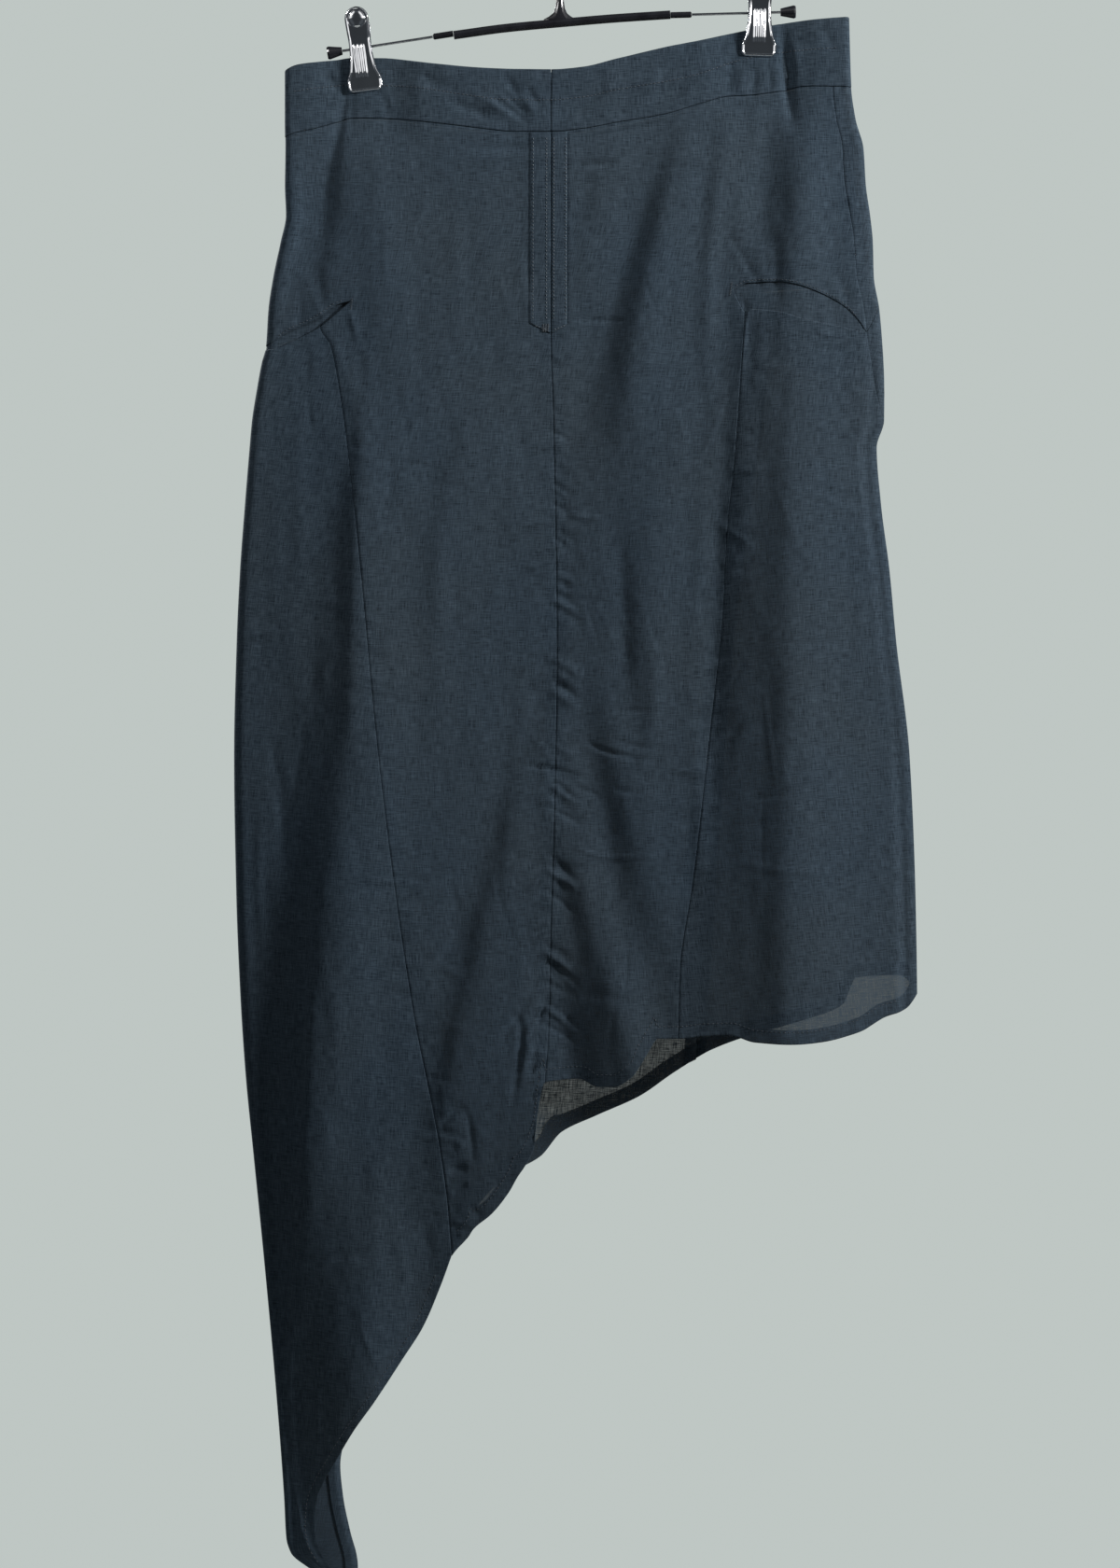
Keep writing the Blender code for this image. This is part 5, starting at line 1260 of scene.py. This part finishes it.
# %% Rows of stitches
def over_x(table, back=False):
    """A row that runs across, from a table of x and z."""
    x = np.linspace(min(table)[0], max(table)[0], 260)
    z = curve(table)(x)
    return (back_at(z, x) if back else front_at(z, x)), z


def over_z(line, top, bottom, shift, count):
    """A row that runs down beside a seam."""
    z = np.linspace(top, bottom, count)
    return line(z) + shift, z


BAND_STITCH = [(-206, -149), (-185, -145.6), (-160, -143), (-127.4, -144), (-101.5, -146.8),
               (-74.2, -151.2), (-46.8, -154.8), (-6.5, -155.5), (17.3, -153.3), (44.6, -147.6),
               (81.4, -141.1),
               (108.7, -134.6), (136.8, -124.5), (169.2, -118), (200.9, -115.9), (218, -114.6)]
band_stitches = stitched("band_stitches", [
    stitches_along(*over_x(BAND_STITCH, back), lift=BAND_LIFT) for back in (False, True)], thread)


def tack(p, top, bottom, width, lift, rows):
    """A bar tack: close stitches side by side, each a little slanted."""
    across = np.array([p - width / 2.0, p + width / 2.0])
    return [stitches_along(across, np.array([z, z + 0.4]), lift, 1.9, 1.7)
            for z in np.linspace(top, bottom, rows)]


SHORT = {"pitch": 2.9, "length": 2.0}
STRIP_ROWS = (-13.6, -3.2, 2.4, 11.6)
placket_rows = [stitches_along(*over_z(centre_seam, -184.0, STRIP_END - 1.0, shift, 200),
                               lift=STRIP_LIFT, **SHORT)
                for shift in STRIP_ROWS]
point_z = STRIP_END - STRIP_POINT
middle = float(centre_seam(np.array(point_z)))
for shift in (-13.0, 11.4):
    placket_rows.append(stitches_along(middle + np.array([shift, 0.0]),
                                       np.array([STRIP_END - 1.5, point_z + 2.0]),
                                       STRIP_LIFT, 2.4, 1.8))
placket_stitches = stitched("placket_stitches", placket_rows, worn_thread)
placket_tack = stitched("placket_tack",
                        tack(middle - 3.0, STRIP_END - 1.0, STRIP_END - 6.4, 9.0, STRIP_LIFT, 9), thread)

left_end, right_end = (float(line(np.array(z)))
                       for line, z in ((LEFT_MOUTH_END, -312.0), (RIGHT_MOUTH_END, -302.0)))
MOUTH_STITCH_LEFT = [(-217, -338), (-209.5, -332.4), (-188.6, -322.9), (-171, -311.6), (-163, -309.4)]
MOUTH_STITCH_RIGHT = [(134, -300), (144, -295.4), (165.6, -294.6), (180, -296.8), (201.6, -304),
                      (219.6, -314), (229, -324)]
pocket_stitches = stitched("pocket_stitches", [
    stitches_along(*over_x(MOUTH_STITCH_LEFT), **SHORT), stitches_along(*over_x(MOUTH_STITCH_RIGHT), **SHORT),
    *tack(left_end + 1.0, -309.5, -317.5, 3.4, 0.0, 9),
    *tack(right_end - 1.4, -297.0, -306.5, 4.4, 0.0, 10)], thread)
HEM_ROW_UP, TAIL_ROW_IN, HEM_PITCH = 9.4, 7.4, 3.4
TAIL_ROW_START, TAIL_ROW_END = 14.0, -1284.0


def hem_row(edge, low, high, back=False):
    """A row along a hem, a little up from its edge, measured square to it."""
    x = np.linspace(low, high, 700)
    z = edge(x)
    slope = np.gradient(z, x)
    z = z + HEM_ROW_UP * np.minimum(np.sqrt(1.0 + slope**2), MOST_SLANT)
    return (back_at(z, x) if back else front_at(z, x)), z


hem_rows = (hem_row(front_hem, -80.0, 262.0), hem_row(back_hem, -70.0, 262.0, back=True),
            over_z(left_seam, TAIL_TOP_FRONT - TAIL_ROW_START, TAIL_ROW_END, -TAIL_ROW_IN, 300),
            over_z(back_left_seam, TAIL_TOP_BACK - TAIL_ROW_START, TAIL_ROW_END, TAIL_ROW_IN, 300))
hem_stitches = stitched("hem_stitches", [stitches_along(*row, pitch=HEM_PITCH) for row in hem_rows], thread)

# %% [markdown]
# ## The zip
# Behind the slit the tape carries a coil of nylon. A coil zip is a spring sewn flat, so each side is a
# row of small loops, and the two rows hook into each other along the middle.

# %% The zip's coil
COIL_PITCH, COIL_REACH, COIL_LIFT, COIL_WIRE = 1.1, 1.5, -1.25, 0.28
COIL_TOP = -194.0
ASIDE = np.array([0.3, 1.0, 0.2])       # a direction that the coil never runs in


def coil(side):
    """One side's loops as places for a single tube; the other side's lie half a pitch lower."""
    turns = (STRIP_END + 196.0) / -COIL_PITCH
    angle = np.linspace(0.0, 2.0 * math.pi * turns, int(turns * 10))
    z = COIL_TOP - COIL_PITCH * angle / (2.0 * math.pi) - (0.5 * COIL_PITCH if side > 0.0 else 0.0)
    p = centre_seam(z) + side * COIL_REACH * (0.72 - 0.5 * np.cos(angle))
    return p, z, COIL_LIFT + 0.35 * np.sin(angle)


nylon = yarn_material("nylon coil", 0.004, 4.0, 0.3, 0.7, (0.012, 0.016, 0.020), (0.030, 0.036, 0.042), 0.35)
p, z, lift = (np.vstack(part) for part in zip(coil(-1.0), coil(1.0)))
centre = surface(p, z, False) + outward(p, z) * lift[..., None]
along = np.gradient(centre, axis=1)
across = unit(np.cross(along, ASIDE))
coil_mesh = tubes("zip_coil", centre, across, unit(np.cross(along, across)), COIL_WIRE)
zip_coil = new_piece(coil_mesh, nylon)
print("zip coil:", 2 * len(coil_mesh.polygons), "triangles")

# %% [markdown]
# ## Finishes of the hanger
# The hanger is black plastic, bright wire and chromed steel. None of them is perfectly even: moulded
# plastic has a faint orange-peel surface, drawn wire has fine lines along it, and chrome has dull
# patches where it has been handled. Object coordinates place the patterns, in real millimetres.

# %% Plastic, wire and chrome
DULLER = 0.06                           # how much rougher a handled patch is


def finish_material(name, dark, pale, roughness, metallic, cell, bump_distance, stretch=1.0):
    made, nodes, links, shader = new_material(name)
    place = nodes.new("ShaderNodeTexCoord").outputs["Object"]
    grain = streaks(nodes, links, place, cell * stretch, cell, detail=3.0, seed=5.0)
    patches = streaks(nodes, links, place, 0.014, 0.014, detail=2.0, seed=9.0)
    links.new(ramp(nodes, links, patches, 0.35, 0.7, dark, pale), shader.inputs["Base Color"])
    rough = combine(nodes, links, "ADD", combine(nodes, links, "MULTIPLY", patches, DULLER), roughness)
    links.new(rough, shader.inputs["Roughness"])
    add_bump(nodes, links, shader, grain, 0.3, bump_distance)
    shader.inputs["Metallic"].default_value = metallic
    return made


plastic = finish_material("glossy black plastic", (0.008, 0.008, 0.010), (0.014, 0.015, 0.018),
                          roughness=0.20, metallic=0.0, cell=0.0012, bump_distance=0.00004)
wire = finish_material("bright drawn wire", (0.50, 0.51, 0.53), (0.62, 0.63, 0.65),
                       roughness=0.16, metallic=1.0, cell=0.0006, bump_distance=0.00003, stretch=14.0)
chrome = finish_material("bright chrome", (0.74, 0.75, 0.77), (0.84, 0.85, 0.87),
                         roughness=0.03, metallic=1.0, cell=0.0030, bump_distance=0.00002)
HANGER_FINISHES = {
    plastic: ("hanger_bar", "ferrule_left", "ferrule_right", "cap_left", "cap_right"),
    wire: ("rod_left", "rod_right"), chrome: ("hook",),
}
for finish, names in HANGER_FINISHES.items():
    for name in names:
        carried = bpy.data.objects[name]
        carried.data.materials.clear()
        carried.data.materials.append(finish)
print("finished:", sum(len(names) for names in HANGER_FINISHES.values()), "carried-over parts")

# %% [markdown]
# ## The clips
# Each clip is two stamped plates on a sprung pivot. A stamping has no sharp edge: its rim is rolled
# up, its head has a round boss in a ring, three flutes stiffen its waist and the jaw below is a
# smooth pad. The plate is a grid whose height over the sheet is the sum of these shapes.

# %% The clip's plates
PLATE = [  # distance below the pivot, half width, outer face
    (-30.2, 9.2, 9.7), (-25.5, 9.2, 8.9), (-21, 9.2, 8.2), (-12, 8.9, 6.5), (-4, 8.5, 5.1), (4, 8.7, 5.2),
    (12, 9.6, 5.7), (19, 10.8, 5.5), (22, 12.1, 4.9), (24, 12.9, 4.1), (26, 13.4, 3.75), (33, 13.4, 3.4),
    (34.3, 13.4, 3.35)]
plate_half, plate_face = curve(PLATE, 1), curve(PLATE, 2)
HEAD_AT, HEAD_RADIUS, BOSS_RADIUS, CORNER = -21.0, 9.2, 6.3, 4.2
PLATE_TOP, PLATE_END, STAMPED = -30.15, 34.25, 0.7
FLUTES = (-3.1, 0.0, 3.1)


def plate_grid(flute_shift):
    """Places on the plate and how far its outer face stands out, in mm."""
    share = np.linspace(0.0, 1.0, 150)
    down = PLATE_TOP + (PLATE_END - PLATE_TOP) * (share - 0.06 * np.sin(2.0 * math.pi * share))
    half = plate_half(down)
    head = down < HEAD_AT
    half = np.where(head, np.sqrt(np.maximum(HEAD_RADIUS**2 - (down - HEAD_AT) ** 2, 0.3)), half)
    low = np.clip(down - (PLATE_END - CORNER), 0.0, CORNER)
    half = half - (CORNER - np.sqrt(np.maximum(CORNER**2 - low**2, 0.0)))
    crowd = math.pi / 2.0 * 0.94
    u = np.sin(np.linspace(-1.0, 1.0, 47) * crowd) / math.sin(crowd)
    x = half[:, None] * u
    down = np.broadcast_to(down[:, None], x.shape)
    radius = np.hypot(x, down - HEAD_AT)
    inside = np.where(down < HEAD_AT, HEAD_RADIUS - radius, half[:, None] - np.abs(x))
    inside = np.minimum(inside, PLATE_END - down)
    rim = 0.75 * np.exp(-(((inside - 1.0) / 0.75) ** 2)) - 0.5 * np.exp(-((inside / 0.45) ** 2))
    boss = 2.1 * np.sqrt(np.maximum(1.0 - (radius / BOSS_RADIUS) ** 2, 0.0))
    groove = -0.45 * np.exp(-(((radius - BOSS_RADIUS - 0.25) / 0.35) ** 2))
    run = smooth_step(-3.0, 1.0, down) * (1.0 - smooth_step(22.0, 24.5, down))
    flutes = run * sum(0.85 * np.exp(-((np.abs((x - flute - flute_shift) / 1.05)) ** 3.0))
                       for flute in FLUTES)
    crown = -0.5 * u**2 * (1.0 - smooth_step(20.0, 26.0, down))
    waist = 0.5 * np.exp(-(((down + 9.0) / 3.4) ** 2)) * np.exp(-((x / 3.0) ** 2))
    return x, down, plate_face(down) + rim + boss + groove + flutes + crown - waist


def clip_plate(name, node, pivot_x, pivot_z, lean, facing, flute_shift):
    x, down, out = plate_grid(flute_shift)
    turn = math.radians(lean)
    layers = [np.stack([pivot_x + down * math.sin(turn) + x * math.cos(turn), facing * face,
                        pivot_z - down * math.cos(turn) + x * math.sin(turn)], axis=-1)
              for face in (out, out - STAMPED)]
    rows, columns = x.shape
    index = np.arange(2 * rows * columns).reshape(2, rows, columns)
    top, under = index
    quads = [np.stack([top[:-1, :-1], top[1:, :-1], top[1:, 1:], top[:-1, 1:]], axis=-1).reshape(-1, 4),
             np.stack([under[:-1, :-1], under[:-1, 1:], under[1:, 1:], under[1:, :-1]],
                      axis=-1).reshape(-1, 4)]
    border = np.concatenate([np.arange(columns), columns * np.arange(1, rows) + columns - 1,
                             rows * columns - 2 - np.arange(columns - 1),
                             columns * np.arange(rows - 2, 0, -1)])
    after, deeper = np.roll(border, -1), rows * columns
    quads.append(np.stack([border, after, after + deeper, border + deeper], axis=-1))
    faces = np.vstack(quads)
    points = np.vstack([layer.reshape(-1, 3) for layer in layers]) * MM
    mesh = new_mesh(name, points, (faces if facing < 0.0 else faces[:, ::-1]).tolist())
    return new_piece(mesh, chrome, node)


for side, (pivot_x, pivot_z, lean), flute_shift in (("left", CLIPS[0], -1.3), ("right", CLIPS[1], 0.0)):
    for place, facing in (("front", -1.0), ("back", 1.0)):
        plate = clip_plate(f"clip_{side}_{place}_plate", f"clip_{side}_{place}",
                           pivot_x, pivot_z, lean, facing, flute_shift)
print("a clip's plate:", 2 * len(plate.data.polygons), "triangles")

# %% [markdown]
# Between the plates a torsion spring pushes the heads apart. It is wire wound round the rod, and its
# two legs lie against the plates.

# %% The clips' springs
SPRING_TURNS, SPRING_RADIUS, SPRING_WIRE, SPRING_HALF = 8, 2.55, 0.55, 6.3
TURN_POINTS = 16
RODS = (((-97.9, -105.6), (-167.8, -116.5)), ((101.5, -88.5), (169.9, -86.7)))   # x and z of both ends


def spring(name, node, pivot_x, pivot_z, rod_start, rod_end):
    along = Vector((rod_end[0] - rod_start[0], 0.0, rod_end[1] - rod_start[1])).normalized()
    sideways = Vector((0.0, 1.0, 0.0))
    up = sideways.cross(along)
    path = []
    for k in range(SPRING_TURNS * TURN_POINTS + 1):
        angle = 2.0 * math.pi * k / TURN_POINTS
        share = 2.0 * k / (SPRING_TURNS * TURN_POINTS) - 1.0
        centre = Vector((pivot_x, 0.0, pivot_z)) + along * (SPRING_HALF * share)
        path.append(centre + SPRING_RADIUS * (math.cos(angle) * up + math.sin(angle) * sideways))
    curve_data = bpy.data.curves.new(name, "CURVE")
    curve_data.dimensions = "3D"
    spline = curve_data.splines.new("POLY")
    spline.points.add(len(path) - 1)
    for point, place in zip(spline.points, path):
        point.co = (*(place * MM), 1.0)
    curve_data.bevel_depth = SPRING_WIRE * MM
    curve_data.bevel_resolution = 2
    curve_data.use_fill_caps = True
    return new_piece(curve_data, wire, node)


springs = [spring(f"clip_{side}_coil", f"clip_{side}_spring", pivot_x, pivot_z, *rod)
           for side, (pivot_x, pivot_z, _), rod in zip(("left", "right"), CLIPS, RODS)]
print("springs:", len(springs))

# %% [markdown]
# ## The studio
# The wall behind the skirt in the photograph is a pale grey green, and the light comes mostly from
# the right. The world gives that pale ground to the camera, bright windows to whatever mirrors it,
# and a dim room to everything else, so that folds keep their shade. The key lamp stands far to the
# right and a weak fill to the left, both turned up past the skirt, so that its lower end stays
# darker. A third one lights the back. The floor is a small pale disc below the tail.

# %% Light and floor
GROUND, ROOM = (0.52, 0.57, 0.55), (0.80, 0.92, 1.0)
ROOM_STRENGTH = 0.051
DIM, BRIGHT = (0.035, 0.04, 0.045), (1.0, 1.0, 1.0)
world = bpy.data.worlds.new("studio")
bpy.context.scene.world = world
world.use_nodes = True
world_nodes, world_links = world.node_tree.nodes, world.node_tree.links
seen = world_nodes["Background"]
seen.inputs["Color"].default_value = (*GROUND, 1.0)
room = world_nodes.new("ShaderNodeBackground")
room.inputs["Color"].default_value = (*ROOM, 1.0)
room.inputs["Strength"].default_value = ROOM_STRENGTH
mirrored = world_nodes.new("ShaderNodeBackground")
axes = world_nodes.new("ShaderNodeSeparateXYZ")
world_links.new(world_nodes.new("ShaderNodeTexCoord").outputs["Generated"], axes.inputs["Vector"])
towards_front = combine(world_nodes, world_links, "MULTIPLY", axes.outputs["Y"], -1.0)
sideways = combine(world_nodes, world_links, "ABSOLUTE", axes.outputs["X"], 0.0)
height = combine(world_nodes, world_links, "ADD", axes.outputs["Z"], 0.5)
windows = ramp(world_nodes, world_links, towards_front, 0.30, 0.42, DIM, BRIGHT)
for source, low, high, first, last in ((towards_front, 0.80, 0.90, BRIGHT, DIM),
                                       (sideways, 0.22, 0.34, DIM, BRIGHT),
                                       (height, 0.42, 0.50, DIM, BRIGHT)):
    side_of_it = ramp(world_nodes, world_links, source, low, high, first, last)
    windows = blended(world_nodes, world_links, windows, side_of_it, "MULTIPLY")
faint = blended(world_nodes, world_links, windows, DIM, "ADD")
world_links.new(faint, mirrored.inputs["Color"])
mirrored.inputs["Strength"].default_value = 1.0
path = world_nodes.new("ShaderNodeLightPath")
in_mirrors = world_nodes.new("ShaderNodeMixShader")
world_links.new(path.outputs["Is Glossy Ray"], in_mirrors.inputs["Fac"])
world_links.new(room.outputs["Background"], in_mirrors.inputs[1])
world_links.new(mirrored.outputs["Background"], in_mirrors.inputs[2])
choice = world_nodes.new("ShaderNodeMixShader")
world_links.new(path.outputs["Is Camera Ray"], choice.inputs["Fac"])
world_links.new(in_mirrors.outputs["Shader"], choice.inputs[1])
world_links.new(seen.outputs["Background"], choice.inputs[2])
world_links.new(choice.outputs["Shader"], world_nodes["World Output"].inputs["Surface"])


def area_light(name, place, target, size, power):
    light = bpy.data.lights.new(name, "AREA")
    light.shape = "DISK"
    light.size, light.energy = size, power
    lamp = bpy.data.objects.new(name, light)
    lamp.location = place
    lamp.rotation_euler = (Vector(target) - Vector(place)).to_track_quat("-Z", "Y").to_euler()
    bpy.context.collection.objects.link(lamp)


area_light("key", place=(3.5, -1.47, 0.8), target=(0.0, 0.0, 4.6), size=0.7, power=630.0)
area_light("fill", place=(-1.5, -1.1, 0.7), target=(0.0, 0.0, 1.8), size=0.6, power=36.0)
area_light("back", place=(-1.7, 1.9, 0.9), target=(0.0, 0.0, -0.3), size=0.9, power=85.0)

floor_material, floor_nodes, floor_links, floor_shader = new_material("pale floor")
floor_place = floor_nodes.new("ShaderNodeTexCoord").outputs["Object"]
clouds = streaks(floor_nodes, floor_links, floor_place, 0.22, 0.22, detail=5.0, seed=1.0)
grit = streaks(floor_nodes, floor_links, floor_place, 0.004, 0.004, detail=4.0, seed=6.0)
floor_links.new(ramp(floor_nodes, floor_links, clouds, 0.3, 0.7, (0.50, 0.53, 0.51), (0.66, 0.68, 0.66)),
                floor_shader.inputs["Base Color"])
add_bump(floor_nodes, floor_links, floor_shader, grit, 1.0, 0.0008)
floor_shader.inputs["Roughness"].default_value = 0.8
FLOOR_RADIUS, FLOOR_HEIGHT = 0.6, -1.45
bpy.ops.mesh.primitive_circle_add(vertices=96, radius=FLOOR_RADIUS, fill_type="NGON",
                                  location=(0.0, 0.0, FLOOR_HEIGHT))
floor = bpy.context.object
floor.name = "floor"
floor.data.materials.append(floor_material)

# %% [markdown]
# ## The cloth's cut sizes
# Every sheet is listed with the size it was cut to before it was hung, with its hems, folds and
# seam allowances laid flat. A panel that widens or slants fills less than its rectangle, so its area
# is listed too.

# %% Cut sizes: piece, width and length in metres, area in m2, what it hangs from, what goes with it
CLIP_PLATES = [f"clip_{side}_{place}_plate" for side in ("left", "right") for place in ("front", "back")]
SHEETS = [
    (band_left, 0.211, 0.112, 0.0212, CLIP_PLATES[:2], ()),
    (band_right, 0.234, 0.120, 0.0242, CLIP_PLATES[2:], ()),
    (band_back, 0.457, 0.115, 0.0449, CLIP_PLATES, (band_stitches,)),
    (front_left, 0.254, 0.885, 0.137, [band_left], ()),
    (front_right, 0.257, 0.779, 0.123, [band_right], (pocket_stitches,)),
    (side_front_left, 0.170, 0.975, 0.123, [front_left], ()),
    (side_front_right, 0.193, 0.573, 0.0954, [front_right], ()),
    (back, 0.537, 0.887, 0.261, [band_back], (hem_stitches,)),
    (side_back_left, 0.194, 0.976, 0.115, [back], ()),
    (side_back_right, 0.190, 0.608, 0.0898, [back], ()),
    (placket_left, 0.026, 0.163, 0.0040, [front_left], ()),
    (placket_right, 0.0235, 0.163, 0.0036, [front_right], (placket_stitches, placket_tack)),
    (facing_left, 0.094, 0.090, 0.0052, [front_left], ()),
    (facing_right, 0.128, 0.090, 0.0078, [front_right], ()),
    (zip_tape, 0.022, 0.152, 0.0033, [front_left, front_right], (zip_coil,)),
]
for piece, width, length, area, hangs_from, with_it in SHEETS:
    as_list(hangs_from)
    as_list(with_it)
print("sheets:", len(SHEETS), "cloth in all:", round(sum(row[3] for row in SHEETS), 3), "m2")
